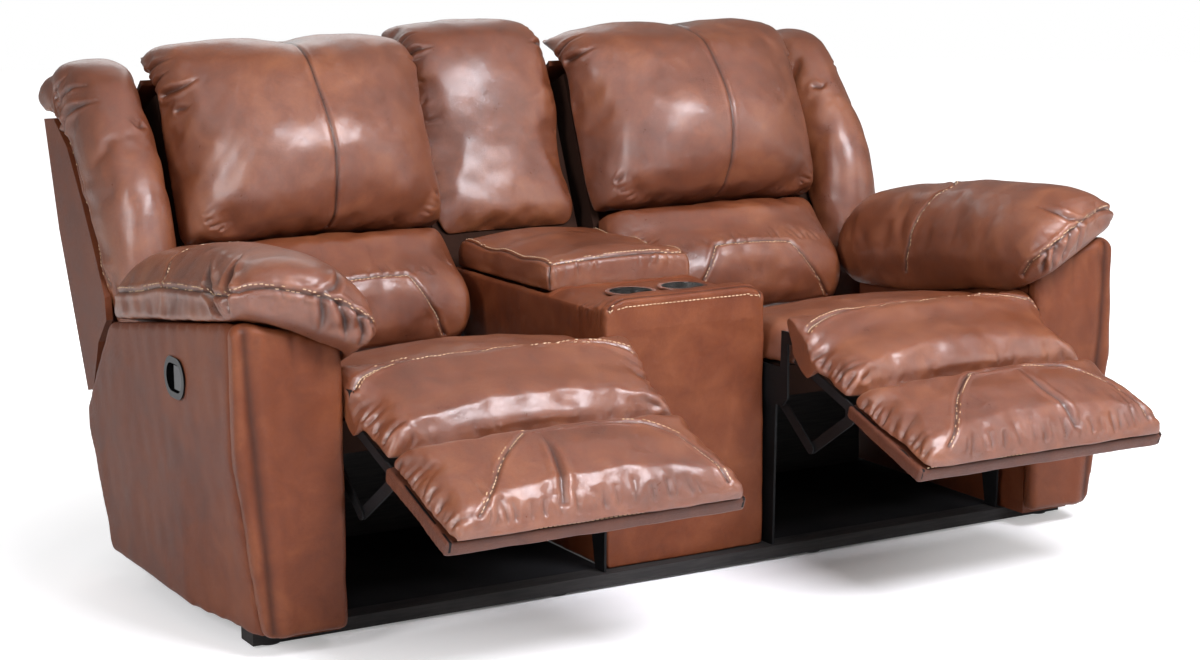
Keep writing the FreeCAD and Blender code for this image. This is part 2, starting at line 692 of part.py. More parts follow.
def make_release_handle():
    width = "Sizes.handle_width"
    tall = "Sizes.handle_tall"
    inner_width = f"{width} - 2 * Sizes.handle_rim"
    inner_tall = f"{tall} - 2 * Sizes.handle_rim"
    cup_floor = "Places.half_width - Sizes.handle_depth"
    rim = oval("bezel_rim", width, tall, "Places.half_width", "Sizes.handle_proud")
    cup = oval("bezel_cup", f"{inner_width} + 2 * Sizes.handle_wall", f"{inner_tall} + 2 * Sizes.handle_wall",
               f"{cup_floor} - Sizes.handle_wall", "Sizes.handle_depth + Sizes.handle_wall")
    well = oval("bezel_well", inner_width, inner_tall, cup_floor, "Sizes.handle_depth + Sizes.handle_proud + 1")
    shell = cut("bezel_shell", fuse("bezel_solid", [rim, cup]), well)
    # The paddle fills the front of the well and swings on an upright pin
    pin_inset = "(Sizes.paddle_gap + 4 * Sizes.paddle_pin_radius)"
    pin_y = f"Places.handle_y - ({inner_width}) / 2 + {pin_inset}"
    pin_x = "Places.half_width - Sizes.paddle_thickness / 2 - Sizes.paddle_gap"
    round_end = f"({inner_tall}) / 2"
    pin_half = f"(sqrt(({round_end}) ^ 2 - ({round_end} - {pin_inset}) ^ 2) + Sizes.handle_wall / 2)"
    pin = post("paddle_pin", "Sizes.paddle_pin_radius", f"2 * {pin_half}",
               (pin_x, pin_y, f"Places.handle_z - {pin_half}"))
    keep_sides("release_bezel", fuse("bezel_with_pin", [shell, pin]))
    bore = post("paddle_bore", "Sizes.paddle_pin_radius + Sizes.pin_clearance", f"{inner_tall} + 2",
                (pin_x, pin_y, f"Places.handle_z - ({inner_tall}) / 2 - 1"))
    face = "Places.half_width - Sizes.paddle_gap"
    slab = box(
        "paddle_slab",
        (f"{face} - Sizes.paddle_thickness", f"{pin_y} - 2 * Sizes.paddle_pin_radius",
         f"Places.handle_z - ({inner_tall}) / 2 + 4 * Sizes.paddle_gap"),
        (face, f"{pin_y} + Sizes.paddle_share", f"Places.handle_z + ({inner_tall}) / 2 - 4 * Sizes.paddle_gap"),
    )
    room = oval("paddle_room", f"{inner_width} - 2 * Sizes.paddle_gap", f"{inner_tall} - 2 * Sizes.paddle_gap",
                cup_floor, "Sizes.handle_depth + Sizes.handle_proud")
    inside = doc.addObject("Part::Common", "paddle_body")
    inside.Base = slab
    inside.Tool = room
    keep_sides("release_paddle", cut("paddle_cut", inside, bore))


# Seat: frame, springs, cushion and the steel that carries the moving parts

def make_seat_box():
    x0 = "Places.seat_rail_x"
    x1 = f"2 * Places.seat_x - {x0}"
    low = "Sizes.seat_rail_top - Sizes.seat_rail_height"
    high = "Sizes.seat_rail_top"
    y0 = front("Sizes.seat_rail_front")
    y1 = front("Sizes.seat_rail_rear")
    rails = [
        box("seat_rail_inner", (x0, y0, low), (f"{x0} + Sizes.board", y1, high)),
        box("seat_rail_outer", (f"{x1} - Sizes.board", y0, low), (x1, y1, high)),
        box("seat_rail_front_board", (f"{x0} + Sizes.board", y0, low), (f"{x1} - Sizes.board", f"{y0} + Sizes.board", high)),
        box("seat_rail_rear_board", (f"{x0} + Sizes.board", f"{y1} - Sizes.board", low), (f"{x1} - Sizes.board", y1, high)),
    ]
    keep_sides("seat_box", group("seat_box_rails", rails))


def zigzag(x, start, length, height, standing):
    """Sinuous spring wire: straight runs across joined by half turns."""
    turn = at.spring_turn
    reach = at.spring_reach
    runs = int(length / (2 * turn)) + 1
    first = start + (length - (runs - 1) * 2 * turn) / 2

    def point(across, along):
        if standing:
            return Vector(x + across, height, along)
        return Vector(x + across, along, height)

    edges = []
    for i in range(runs):
        side = 1 if i % 2 == 0 else -1
        along = first + 2 * turn * i
        edges.append(Part.makeLine(point(-side * reach, along), point(side * reach, along)))
        if i < runs - 1:
            swing = side * (reach + turn)
            half = math.sqrt(0.5) * turn
            quarter = point(side * (reach + half), along + turn - half)
            apex = point(swing, along + turn)
            other = point(side * (reach + half), along + turn + half)
            edges.append(arc(point(side * reach, along), quarter, apex))
            edges.append(arc(apex, other, point(side * reach, along + 2 * turn)))
    path = Part.Wire(edges)
    ring = Part.Wire(Part.makeCircle(at.wire / 2, point(-reach, first), X_AXIS))
    return path.makePipeShell([ring], True, False)


def make_seat_springs():
    count = int(at.seat_spring_count)
    low = at.seat_rail_x + at.board
    span = 2 * (at.seat_x - low)
    start = at.front_y + at.seat_rail_front + at.board / 2
    length = at.seat_rail_rear - at.seat_rail_front - at.board
    height = at.seat_rail_top + at.wire / 2
    wires = [
        zigzag(low + span * (i + 0.5) / count, start, length, height, False)
        for i in range(count)
    ]
    keep_sides("seat_springs", feature("seat_spring_set", Part.makeCompound(wires)))


def make_seat_cushion():
    low = at.seat_bottom
    nose = at.front_y + at.seat_front
    length = at.seat_rear - at.seat_front
    tall = at.seat_crown
    rear = at.seat_rear_crown
    half = at.seat_half
    tuck = at.plate_gap + at.steel + at.plane_gap
    # Share of the length, half width, shoulder share of the crown, crown
    shape = [
        (0.000, half - 2.2 * tuck, 0.44, 0.58 * tall),
        (0.025, half - 1.7 * tuck, 0.60, 0.76 * tall),
        (0.090, half - 0.6 * tuck, 0.68, 0.94 * tall),
        (0.180, half, 0.72, tall),
        (0.420, half, 0.70, 0.90 * tall),
        (0.700, half, 0.70, 0.30 * tall + 0.72 * rear),
        (0.880, half, 0.72, 1.18 * rear),
        (1.000, half - tuck, 0.70, 0.9 * rear),
    ]
    stations = [(nose + s * length, w, low, low + e * c, low + c) for s, w, e, c in shape]
    keep_sides("seat_cushion", feature("seat_cushion_form", cushion(at.seat_x, stations)))


def make_mechanism():
    x = "Places.plate_x"
    horn = "Sizes.horn_half"
    lug = "Sizes.lug_half"
    leg_y = "Places.leg_y"
    leg_z = "Places.leg_z"
    bottom = "Sizes.plate_bottom"
    top = "Sizes.seat_rail_top + Sizes.wire / 2"
    main = plate(
        "main_plate",
        [
            (f"{leg_y} - {lug}", f"{leg_z} - {lug}"),
            (f"{leg_y} + Sizes.seat_front", f"{leg_z} - {lug}"),
            (f"{leg_y} + Sizes.seat_front", f"{bottom} + {horn}"),
            (f"{leg_y} + Sizes.seat_front + {horn}", bottom),
            (f"Places.back_y - 3 * {horn}", bottom),
            (f"Places.back_y + {horn}", f"Places.back_z - {horn}"),
            (f"Places.back_y + {horn}", top),
            (f"{leg_y} + Sizes.seat_front + 1.4 * {horn}", top),
            (f"{leg_y} + Sizes.seat_front + 1.2 * {horn}", f"{leg_z} + {lug}"),
            (f"{leg_y} - {lug}", f"{leg_z} + {lug}"),
        ],
        x,
        "Sizes.steel",
    )
    face = f"{x} + Sizes.steel"
    reach = "Sizes.steel + Sizes.plane_gap"
    leg_pin = rod("leg_pin", "Sizes.leg_pin_radius", f"{reach} + Sizes.flat_steel + Sizes.plane_gap / 2",
                  (x, leg_y, leg_z))
    back_pin = rod("back_pin", "Sizes.leg_pin_radius", f"{reach} + Sizes.steel", (x, "Places.back_y", "Places.back_z"))
    ground_pin = rod("ground_pin", "Sizes.link_pin_radius",
                     "Places.rocker_x + Sizes.flat_steel + Sizes.plane_gap / 2 - Places.plate_x",
                     (x, "Places.ground_y", "Places.ground_z"))
    spacer = rod("ground_spacer", "1.8 * Sizes.link_pin_radius", "Places.rocker_x - Sizes.plane_gap / 4 - Places.plate_x",
                 (x, "Places.ground_y", "Places.ground_z"))
    solid = fuse("plate_with_pins", [main, leg_pin, back_pin, ground_pin, spacer])
    # Legs stand on the floor rails, and blocks join the plate to the seat frame
    rail_middle = front("Sizes.front_rail_setback + Sizes.front_rail_depth / 2")
    front_leg = plate(
        "front_leg",
        [
            (f"{rail_middle} - Sizes.horn_half", "Places.rail_top"),
            (f"{rail_middle} + Sizes.horn_half", "Places.rail_top"),
            (f"{rail_middle} + 4 * Sizes.horn_half", f"{bottom} + Sizes.horn_half"),
            (f"{rail_middle} - 1.6 * Sizes.horn_half", f"{bottom} + Sizes.horn_half"),
        ],
        face,
        "Sizes.steel",
    )
    rear_middle = front("Sizes.rear_rail_setback + Sizes.rear_rail_depth / 2")
    rear_leg = plate(
        "rear_leg",
        [
            (f"{rear_middle} - Sizes.horn_half", "Places.rail_top"),
            (f"{rear_middle} + Sizes.horn_half", "Places.rail_top"),
            (f"{rear_middle} + Sizes.horn_half", f"{bottom} + Sizes.horn_half / 2"),
            (f"{rear_middle} - 4 * Sizes.horn_half", f"{bottom} + Sizes.horn_half / 2"),
        ],
        face,
        "Sizes.steel",
    )
    blocks = []
    for i, share in enumerate((0.45, 0.85)):
        middle = front(f"{share} * Sizes.seat_rail_rear")
        blocks.append(box(
            f"frame_block_{i}",
            (face, f"{middle} - {horn}", f"Sizes.seat_rail_top - 2.4 * {horn}"),
            ("Places.seat_rail_x", f"{middle} + {horn}", f"Sizes.seat_rail_top - 0.4 * {horn}"),
        ))
    parts = group("mechanism_side", [solid, front_leg, rear_leg] + blocks)
    keep_sides("mechanism_plates", twin("mechanism_both", parts))


# Leg rest: its own frame has Y along the open leg rest and Z square to it

LEG_BASE = ("0", "Places.leg_y", "Places.leg_z")
LEG_TURN = "Sizes.leg_slope"


def in_leg_frame(thing):
    return put(thing, LEG_BASE, LEG_TURN)


def make_leg_brackets():
    x = "Places.bar_x"
    top = "Sizes.leg_bar_top"
    low = f"{top} - Sizes.leg_bar_height"
    ear = "2.2 * Sizes.leg_pin_radius"
    bar = plate(
        "leg_bar",
        [
            (ear, low),
            (ear, ear),
            (f"-1 * {ear}", ear),
            (f"-1 * {ear} - 4", top),
            ("-1 * Sizes.foot_board_front", top),
            ("-1 * Sizes.foot_board_front", low),
            ("-1 * Sizes.link_pin_out - 1.6 * Sizes.link_half", low),
            ("-1 * Sizes.link_pin_out - Sizes.link_half", "-1 * Sizes.link_pin_down - Sizes.link_half"),
            ("-1 * Sizes.link_pin_out + Sizes.link_half", "-1 * Sizes.link_pin_down - Sizes.link_half"),
            ("-1 * Sizes.link_pin_out + 1.6 * Sizes.link_half", low),
        ],
        x,
        "Sizes.flat_steel",
    )
    hole = rod("leg_bar_hole", "Sizes.leg_pin_radius + Sizes.pin_clearance", "Sizes.flat_steel + 2",
               (f"{x} - 1", "0", "0"))
    pin = rod("link_pin", "Sizes.link_pin_radius",
              "Places.coupler_x + Sizes.flat_steel + Sizes.plane_gap / 2 - Places.bar_x",
              (x, "-1 * Sizes.link_pin_out", "-1 * Sizes.link_pin_down"))
    spacer = rod("link_spacer", "1.7 * Sizes.link_pin_radius",
                 "Places.coupler_x - Sizes.plane_gap / 4 - Places.bar_x",
                 (x, "-1 * Sizes.link_pin_out", "-1 * Sizes.link_pin_down"))
    solid = fuse("leg_bar_pinned", [cut("leg_bar_bored", bar, hole), pin, spacer])
    in_leg_frame(solid)
    keep_sides("leg_rest_brackets", twin("leg_rest_bar_pair", solid))


def make_footrest_board():
    x0 = "Places.bar_x + Sizes.flat_steel"
    x1 = f"2 * Places.seat_x - ({x0})"
    solid = box(
        "footrest_board_form",
        (x0, "-1 * Sizes.foot_board_front", "Sizes.leg_bar_top - Sizes.foot_board_thickness"),
        (x1, "-1 * Sizes.foot_board_rear", "Sizes.leg_bar_top"),
    )
    keep_sides("footrest_board", in_leg_frame(group("footrest_board_placed", [solid])))


def make_leg_pads():
    low = at.leg_pad_bottom
    edge = at.leg_pad_edge
    crown = at.leg_pad_crown
    half = at.seat_half
    slim = at.leg_pad_narrow
    turned = FreeCAD.Placement(Vector(0, at.leg_y, at.leg_z), FreeCAD.Rotation(X_AXIS, at.leg_slope))
    # Distance ahead of the pivot, half width, underside, shoulder and crown heights
    calf = [
        (-at.calf_rear, half - slim - 44, edge, edge + 4, crown - 13),
        (-at.calf_rear + 8, half - slim - 26, edge - 8, edge + 6, crown - 8),
        (-at.calf_rear * 0.6, half - slim - 9, -10, edge + 7, crown - 2),
        (-at.calf_rear * 0.3, half - slim - 4, low + 12, edge + 8, crown + 2),
        (0, half - slim - 3, low + 5, edge + 8, crown + 3),
        (at.calf_front * 0.18, half - slim - 2, low + 2, edge + 6, crown + 3),
        (at.calf_front * 0.45, half - slim / 2, low + 1, edge + 5, crown + 3),
        (at.calf_front * 0.80, half, low, edge, crown - 2),
        (at.calf_front - 8, half - 1, low, edge - 8, crown - 14),
        (at.calf_front, half - 4, low, edge - 20, crown - 28),
    ]
    foot = [
        (at.foot_rear, half - 4, low, edge - 20, crown - 28),
        (at.foot_rear + 10, half - 1, low, edge - 6, crown - 12),
        (at.foot_rear + 50, half, low, edge, crown - 1),
        (at.foot_rear + 110, half, low, edge, crown),
        (at.foot_front - 60, half - 2, low, edge - 2, crown - 6),
        (at.foot_front - 16, half - 6, low, edge - 12, crown - 22),
        (at.foot_front, half - 12, low, edge - 28, crown - 46),
    ]
    for name, rows in (("calf_pad", calf), ("footrest_pad", foot)):
        stations = [(-ahead, w, b, e, c) for ahead, w, b, e, c in reversed(rows)]
        soft = feature(name + "_form", cushion(at.seat_x, stations, shoulder=26, puff=3))
        soft.Placement = turned
        keep_sides(name, soft)


def link_bar(name, x, length, bores, pins):
    """Flat link along -Y from its first pivot, with round ends."""
    half = "Sizes.link_half"
    thick = "Sizes.flat_steel"
    solids = [
        rod(name + "_near", half, thick, (x, "0", "0")),
        rod(name + "_far", half, thick, (x, f"-1 * {length}", "0")),
        box(name + "_web", (x, f"-1 * {length}", f"-1 * {half}"), (f"{x} + {thick}", "0", half)),
    ]
    shape = fuse(name + "_blank", solids)
    for i, (place, radius) in enumerate(bores):
        hole = rod(f"{name}_bore_{i}", radius, f"{thick} + 2", (f"{x} - 1", f"-1 * {place}", "0"))
        shape = cut(f"{name}_bored_{i}", shape, hole)
    if pins:
        shape = fuse(name + "_pinned", [shape] + pins)
    return shape


def make_links():
    pin = "Sizes.link_pin_radius"
    clear = "Sizes.pin_clearance"
    far_pin = rod("rocker_far_pin", pin, "Places.coupler_x + Sizes.flat_steel + Sizes.plane_gap / 2 - Places.rocker_x",
                  ("Places.rocker_x", "-1 * Places.link_length", "0"))
    rocker = link_bar("rocker", "Places.rocker_x", "Places.link_length", [("0", f"{pin} + {clear}")], [far_pin])
    put(rocker, ("0", "Places.ground_y", "Places.ground_z"), "Places.rocker_turn")
    keep_sides("rocker_links", twin("rocker_pair", rocker))
    bores = [("0", f"{pin} + {clear}"), ("Places.coupler_length", f"{pin} + Sizes.open_pin_clearance")]
    coupler = link_bar("coupler", "Places.coupler_x", "Places.coupler_length", bores, [])
    put(coupler, ("0", "Places.coupler_y", "Places.coupler_z"), "Places.coupler_turn")
    keep_sides("coupler_links", twin("coupler_pair", coupler))


# Backs: their own frame has Z along the lean and Y square to it

# Shares of the frame's height and of the back's depth
WING_RAILS = ((0.42, 0.17), (0.84, 0.465))

BACK_BASE = ("0", "Places.back_y", "Places.back_z")
BACK_TURN = "-1 * Sizes.back_tilt"


def in_back_frame(thing):
    return put(thing, BACK_BASE, BACK_TURN)


def leaned(name, shape):
    """Soft or wire piece placed in the leaning frame."""
    solid = feature(name, shape)
    lean = FreeCAD.Rotation(X_AXIS, -at.back_tilt)
    solid.Placement = FreeCAD.Placement(Vector(0, at.back_y, at.back_z), lean)
    return solid


def make_back_brackets():
    lug = "3.4 * Sizes.leg_pin_radius"
    y0 = "Sizes.back_front"
    arm = plate(
        "back_bracket",
        [
            (f"-1 * {lug}", f"-1 * {lug}"),
            (lug, f"-1 * {lug}"),
            (f"{y0} + Sizes.back_rail", lug),
            (f"{y0} + Sizes.back_rail", "4 * Sizes.back_rail"),
            (y0, "4 * Sizes.back_rail"),
            (y0, f"1.5 * {lug}"),
            (f"-1 * {lug}", lug),
        ],
        "Places.bracket_x",
        "Sizes.steel",
    )
    hole = rod("back_bracket_hole", "Sizes.leg_pin_radius + Sizes.pin_clearance", "Sizes.steel + 2",
               ("Places.bracket_x - 1", "0", "0"))
    solid = in_back_frame(cut("back_bracket_bored", arm, hole))
    keep_sides("back_brackets", twin("back_bracket_pair", solid))


def make_back_frame():
    x0 = "Places.stile_x"
    x1 = f"2 * Places.seat_x - {x0}"
    y0 = "Sizes.back_front"
    rear = "Sizes.back_depth - Sizes.back_sheet"
    top = "Sizes.back_frame_top"
    rail = "Sizes.back_rail"
    stile = plate(
        "back_stile",
        [
            (y0, f"{rail} / 2"),
            (f"{y0} + {rail}", f"{rail} / 2"),
            (f"{rear} - 18", f"{rail} + 5"),
            (rear, f"{top} * 0.64"),
            (f"{rear} - Sizes.cover_chamfer - 2", f"0.96 * {top}"),
            (f"{y0} + {rail}", top),
            (y0, top),
        ],
        x0,
        "Sizes.board",
    )
    other = doc.addObject("Part::Mirroring", "back_stile_twin")
    other.Source = stile
    other.Normal = X_AXIS
    other.setExpression("Base.x", "Places.seat_x")
    depth = f"{y0} + Sizes.board"
    low_x = f"{x0} + Sizes.board"
    high_x = f"{x1} - Sizes.board"
    rails = [
        box("back_top_rail", (low_x, y0, f"{top} - {rail}"), (high_x, depth, top)),
        box("back_low_rail", (low_x, y0, f"{rail} / 2"), (high_x, depth, f"1.5 * {rail}")),
    ]
    wing_end = "Places.wing_outer_x - Sizes.back_side_sheet"
    for i, (share, inset) in enumerate(WING_RAILS):
        setback = f"{inset} * Sizes.back_depth"
        rails.append(box(
            f"wing_rail_{i}",
            (x1, setback, f"{share} * {top} - {rail} / 2"),
            (wing_end, f"{setback} + Sizes.board", f"{share} * {top} + {rail} / 2"),
        ))
    frame = group("back_frame_boards", [stile, other] + rails)
    keep_sides("back_frame", in_back_frame(frame))


def make_back_springs():
    count = int(at.back_spring_count)
    low = at.stile_x + at.board
    span = 2 * (at.seat_x - low)
    start = at.back_rail
    length = at.back_frame_top - 1.5 * at.back_rail
    height = at.back_front - at.wire / 2
    wires = [
        zigzag(low + span * (i + 0.5) / count, start, length, height, True)
        for i in range(count)
    ]
    keep_sides("back_springs", leaned("back_spring_set", Part.makeCompound(wires)))


def make_head_cushion():
    rear = -(at.back_front - at.wire - 0.2)
    low = at.head_bottom
    length = at.head_top - at.head_bottom
    front_most = at.head_crown
    half = at.seat_half
    # Share of the height, half width, rear face, shoulder, crown
    shape = [
        (0.000, half - 10, rear, 0.26 * front_most, 0.40 * front_most),
        (0.030, half - 4, rear, 0.38 * front_most, 0.60 * front_most),
        (0.120, half, rear, 0.45 * front_most, 0.82 * front_most),
        (0.310, half, rear, 0.46 * front_most, front_most),
        (0.560, half, rear, 0.46 * front_most, 0.91 * front_most),
        (0.780, half, rear, 0.40 * front_most, 0.68 * front_most),
        (0.900, half - 1, rear - 50, 0.24 * front_most, 0.41 * front_most),
        (0.960, half - 4, rear - 80, 0.0, 0.14 * front_most),
        (0.988, half - 10, rear - 90, -0.22 * front_most, -0.12 * front_most),
    ]
    stations = [(low + s * length, w, b, e, c) for s, w, b, e, c in shape]
    soft = cushion(at.seat_x, stations, standing=True, channel=at.head_channel)
    # It sits on the frame's top rail and on the upper edge of the outside back
    top = at.back_frame_top + at.soft_gap
    corners = [
        Vector(at.console_half, -rear, -50),
        Vector(at.console_half, -rear, top),
        Vector(at.console_half, at.cover_lip - at.soft_gap, top),
        Vector(at.console_half, at.cover_lip - at.soft_gap, top + at.cover_rise),
        Vector(at.console_half, at.back_depth - at.cover_chamfer, 0.99 * at.back_frame_top + at.soft_gap),
        Vector(at.console_half, at.back_depth + 100, -50),
    ]
    behind = Part.Face(Part.makePolygon(corners + corners[:1])).extrude(Vector(at.half_width, 0, 0))
    keep_sides("head_cushion", leaned("head_cushion_form", soft.cut(behind)))


def make_lumbar_cushion():
    rear = -(at.back_front - at.wire - 0.2)
    low = at.lumbar_bottom
    length = at.lumbar_top - at.lumbar_bottom
    front_most = at.lumbar_crown
    half = at.seat_half
    # Share of the height, half width, shoulder, crown
    shape = [
        (0.000, half - 16, 0.70 * front_most, 0.78 * front_most),
        (0.060, half - 15, 0.76 * front_most, 0.88 * front_most),
        (0.120, half - 14, 0.79 * front_most, 0.93 * front_most),
        (0.190, half - 9, 0.80 * front_most, 0.97 * front_most),
        (0.300, half - 4, 0.80 * front_most, front_most),
        (0.545, half - 3, 0.66 * front_most, 0.88 * front_most),
        (0.790, half - 4, 0.46 * front_most, 0.66 * front_most),
        (0.945, half - 8, 0.36 * front_most, 0.52 * front_most),
        (1.000, half - 12, 0.28 * front_most, 0.40 * front_most),
    ]
    stations = [(low + s * length, w, rear, e, c) for s, w, e, c in shape]
    soft = cushion(at.seat_x, stations, standing=True, outer_shoulder=at.lumbar_narrow, puff=0)
    keep_sides("lumbar_cushion", leaned("lumbar_cushion_form", soft))


def wing_stations():
    """Height along the lean, front and rear of the wing bolster."""
    top = at.back_frame_top
    front_most = -at.wing_front
    deep = at.back_depth
    return [
        (0.203 * top, 0.25 * front_most, 0.03 * deep),
        (0.300 * top, 0.66 * front_most, 0.08 * deep),
        (0.467 * top, 0.99 * front_most, 0.155 * deep),
        (0.667 * top, 0.97 * front_most, 0.27 * deep),
        (0.867 * top, 0.58 * front_most, 0.42 * deep),
        (1.000 * top, 0.24 * front_most, 0.65 * deep),
        (1.083 * top, -0.16 * front_most, deep),
        (1.140 * top, -0.62 * front_most, 1.065 * deep),
        (1.177 * top, -1.30 * front_most, 0.975 * deep),
    ]


def make_wing_bolster():
    middle = (at.wing_inner_x + at.wing_outer_x) / 2
    half = (at.wing_outer_x - at.wing_inner_x) / 2 - 2
    stations = []
    first = wing_stations()[0][0]
    last = wing_stations()[-1][0]
    for height, face, rear in wing_stations():
        depth = rear - face
        slim = 14 if height in (first, last) else 0
        stations.append((height, half - slim, -rear, -rear + 0.45 * depth, -face))
    soft = cushion(middle, stations, standing=True, shoulder=8, puff=2)
    rails = []
    for share, inset in WING_RAILS:
        level = share * at.back_frame_top
        rails.append(block(
            Vector(at.seat_x, inset * at.back_depth, level - at.back_rail / 2),
            Vector(at.wing_outer_x - at.back_side_sheet, at.back_depth, level + at.back_rail / 2),
        ))
    # Its rear follows the seam of the outside wing panel
    gap = at.soft_gap
    x = at.seat_x
    rear = at.back_depth - at.cover_chamfer + gap
    seam = [Vector(x, back + at.seam_gap - gap, height) for height, _, back in wing_stations()[1:6]]
    seam += [
        Vector(x, rear, at.back_frame_top + at.wing_panel_rise + gap),
        Vector(x, rear, 0),
        Vector(x, seam[0].y, 0),
    ]
    rails.append(Part.Face(Part.makePolygon(seam + seam[:1])).extrude(Vector(at.half_width, 0, 0)))
    for tool in rails:
        soft = soft.cut(tool)
    keep_sides("wing_bolster", leaned("wing_bolster_form", soft))


def make_back_cover():
    rear = "Sizes.back_depth"
    thin = "Sizes.back_sheet"
    side_x = "Places.wing_outer_x - Sizes.back_side_sheet"
    seam = [(f"{back} + Sizes.seam_gap", str(height)) for height, _, back in wing_stations()[1:6]]
    side = plate(
        "wing_side_sheet",
        seam + [
            (f"{rear} - Sizes.cover_chamfer", "Sizes.back_frame_top + Sizes.wing_panel_rise"),
            (rear, "0.64 * Sizes.back_frame_top"),
            (f"{rear} - 18", "33"),
            (f"{rear} * 0.77", "0.047 * Sizes.back_frame_top"),
            (f"{rear} * 0.44", "0.18 * Sizes.back_frame_top"),
            (f"{rear} * 0.14", "0.227 * Sizes.back_frame_top"),
        ],
        side_x,
        "Sizes.back_side_sheet",
    )
    top_y = f"{rear} - Sizes.cover_chamfer"
    top_z = "0.99 * Sizes.back_frame_top"
    back = plate(
        "outside_back_sheet",
        [
            (f"{rear} - 18 - {thin}", "33"),
            (f"{rear} - 18", "33"),
            (rear, "0.64 * Sizes.back_frame_top"),
            (top_y, top_z),
            (f"{top_y} - {thin}", top_z),
            (f"{rear} - {thin}", "0.64 * Sizes.back_frame_top"),
        ],
        "Places.plate_x",
        f"{side_x} - Places.plate_x",
    )
    lip = plate(
        "outside_back_lip",
        [
            (top_y, top_z),
            ("Sizes.cover_lip", "Sizes.back_frame_top + Sizes.cover_rise"),
            ("Sizes.cover_lip", "Sizes.back_frame_top + Sizes.cover_rise - Sizes.back_sheet"),
            (f"{top_y} - {thin}", top_z),
        ],
        "Places.plate_x",
        "Places.wing_inner_x - Sizes.wing_inner_gap - Places.plate_x",
    )
    wing_back = plate(
        "wing_back_sheet",
        [
            (top_y, top_z),
            (top_y, "Sizes.back_frame_top + Sizes.wing_panel_rise"),
            (f"{top_y} - {thin}", "Sizes.back_frame_top + Sizes.wing_panel_rise - Sizes.back_sheet / 2"),
            (f"{top_y} - {thin}", top_z),
        ],
        "Places.wing_inner_x - Sizes.wing_inner_gap",
        f"{side_x} - Places.wing_inner_x + Sizes.wing_inner_gap",
    )
    keep_sides("back_cover", in_back_frame(group("back_cover_sheets", [side, back, lip, wing_back])))


# Console

def make_console_box():
    half = "Places.console_half"
    board = "Sizes.console_board"
    low = "Places.rail_top"
    front_y = "Places.box_front_y"
    rear_y = "Places.box_rear_y"
    deck_y = "Places.deck_rear_y"
    deck_z = "Places.deck_bottom"
    top = "Sizes.console_height"
    boards = []
    for side, name in ((-1, "left"), (1, "right")):
        x0 = f"-1 * {half}" if side < 0 else f"{half} - {board}"
        x1 = f"-1 * {half} + {board}" if side < 0 else half
        low_part = box(f"console_{name}_low", (x0, front_y, low), (x1, rear_y, deck_z))
        high_part = box(f"console_{name}_high", (x0, deck_y, deck_z), (x1, rear_y, top))
        boards.append(fuse(f"console_{name}_board", [low_part, high_part]))
    x0 = f"-1 * {half} + {board}"
    x1 = f"{half} - {board}"
    boards.append(box("console_front_board", (x0, front_y, low), (x1, f"{front_y} + {board}", deck_z)))
    boards.append(box("bin_front_board", (x0, deck_y, "Places.bin_floor"), (x1, f"{deck_y} + {board}", top)))
    boards.append(box("bin_floor_board", (x0, deck_y, f"Places.bin_floor - {board}"), (x1, f"{rear_y} - {board}", "Places.bin_floor")))
    boards.append(box("console_rear_board", (x0, f"{rear_y} - {board}", low), (x1, rear_y, top)))
    keep("console_box", group("console_boards", boards))
    panel = box(
        "console_front_form",
        (f"-1 * {half}", "Places.deck_front_y", low),
        (half, front_y, deck_z),
    )
    keep("console_front_panel", panel)


def make_deck():
    half = at.console_half
    flat = at.deck_flat / 2
    low = at.deck_bottom
    edge = at.console_height - 2
    top = at.deck_top
    y0 = at.deck_front_y
    middle = (half + flat) / 2 + 8

    def point(x, z):
        return Vector(x, y0, z)

    edges = [
        Part.makeLine(point(-half, low), point(half, low)),
        Part.makeLine(point(half, low), point(half, edge)),
        arc(point(half, edge), point(middle, top - 4), point(flat, top)),
        Part.makeLine(point(flat, top), point(-flat, top)),
        arc(point(-flat, top), point(-middle, top - 4), point(-half, edge)),
        Part.makeLine(point(-half, edge), point(-half, low)),
    ]
    blank = feature("deck_blank", Part.Face(Part.Wire(edges)).extrude(Vector(0, at.deck_rear_y - y0, 0)))
    holes = []
    cups = []
    for side in (-1, 1):
        x = f"{side} * Places.cup_x"
        y = "Places.cup_y"
        floor = "Places.deck_top - Sizes.cup_depth"
        holes.append(post(f"cup_hole_{side + 1}", "Sizes.cup_radius + Sizes.cup_gap",
                          "Places.deck_top - Places.deck_bottom + 4", (x, y, "Places.deck_bottom - 2")))
        rim = post(f"cup_rim_{side + 1}", "Sizes.cup_rim_radius", "Sizes.cup_rim", (x, y, "Places.deck_top"))
        shell = post(f"cup_shell_{side + 1}", "Sizes.cup_radius", "Sizes.cup_depth", (x, y, floor))
        well = post(f"cup_well_{side + 1}", "Sizes.cup_radius - Sizes.cup_wall",
                    "Sizes.cup_depth + Sizes.cup_rim + 1", (x, y, f"{floor} + Sizes.cup_wall"))
        cups.append(cut(f"cup_{side + 1}", fuse(f"cup_solid_{side + 1}", [rim, shell]), well))
    keep("console_deck", cut("deck_cut", blank, fuse("cup_holes", holes)))
    keep("cup_holders", group("cup_pair", cups))


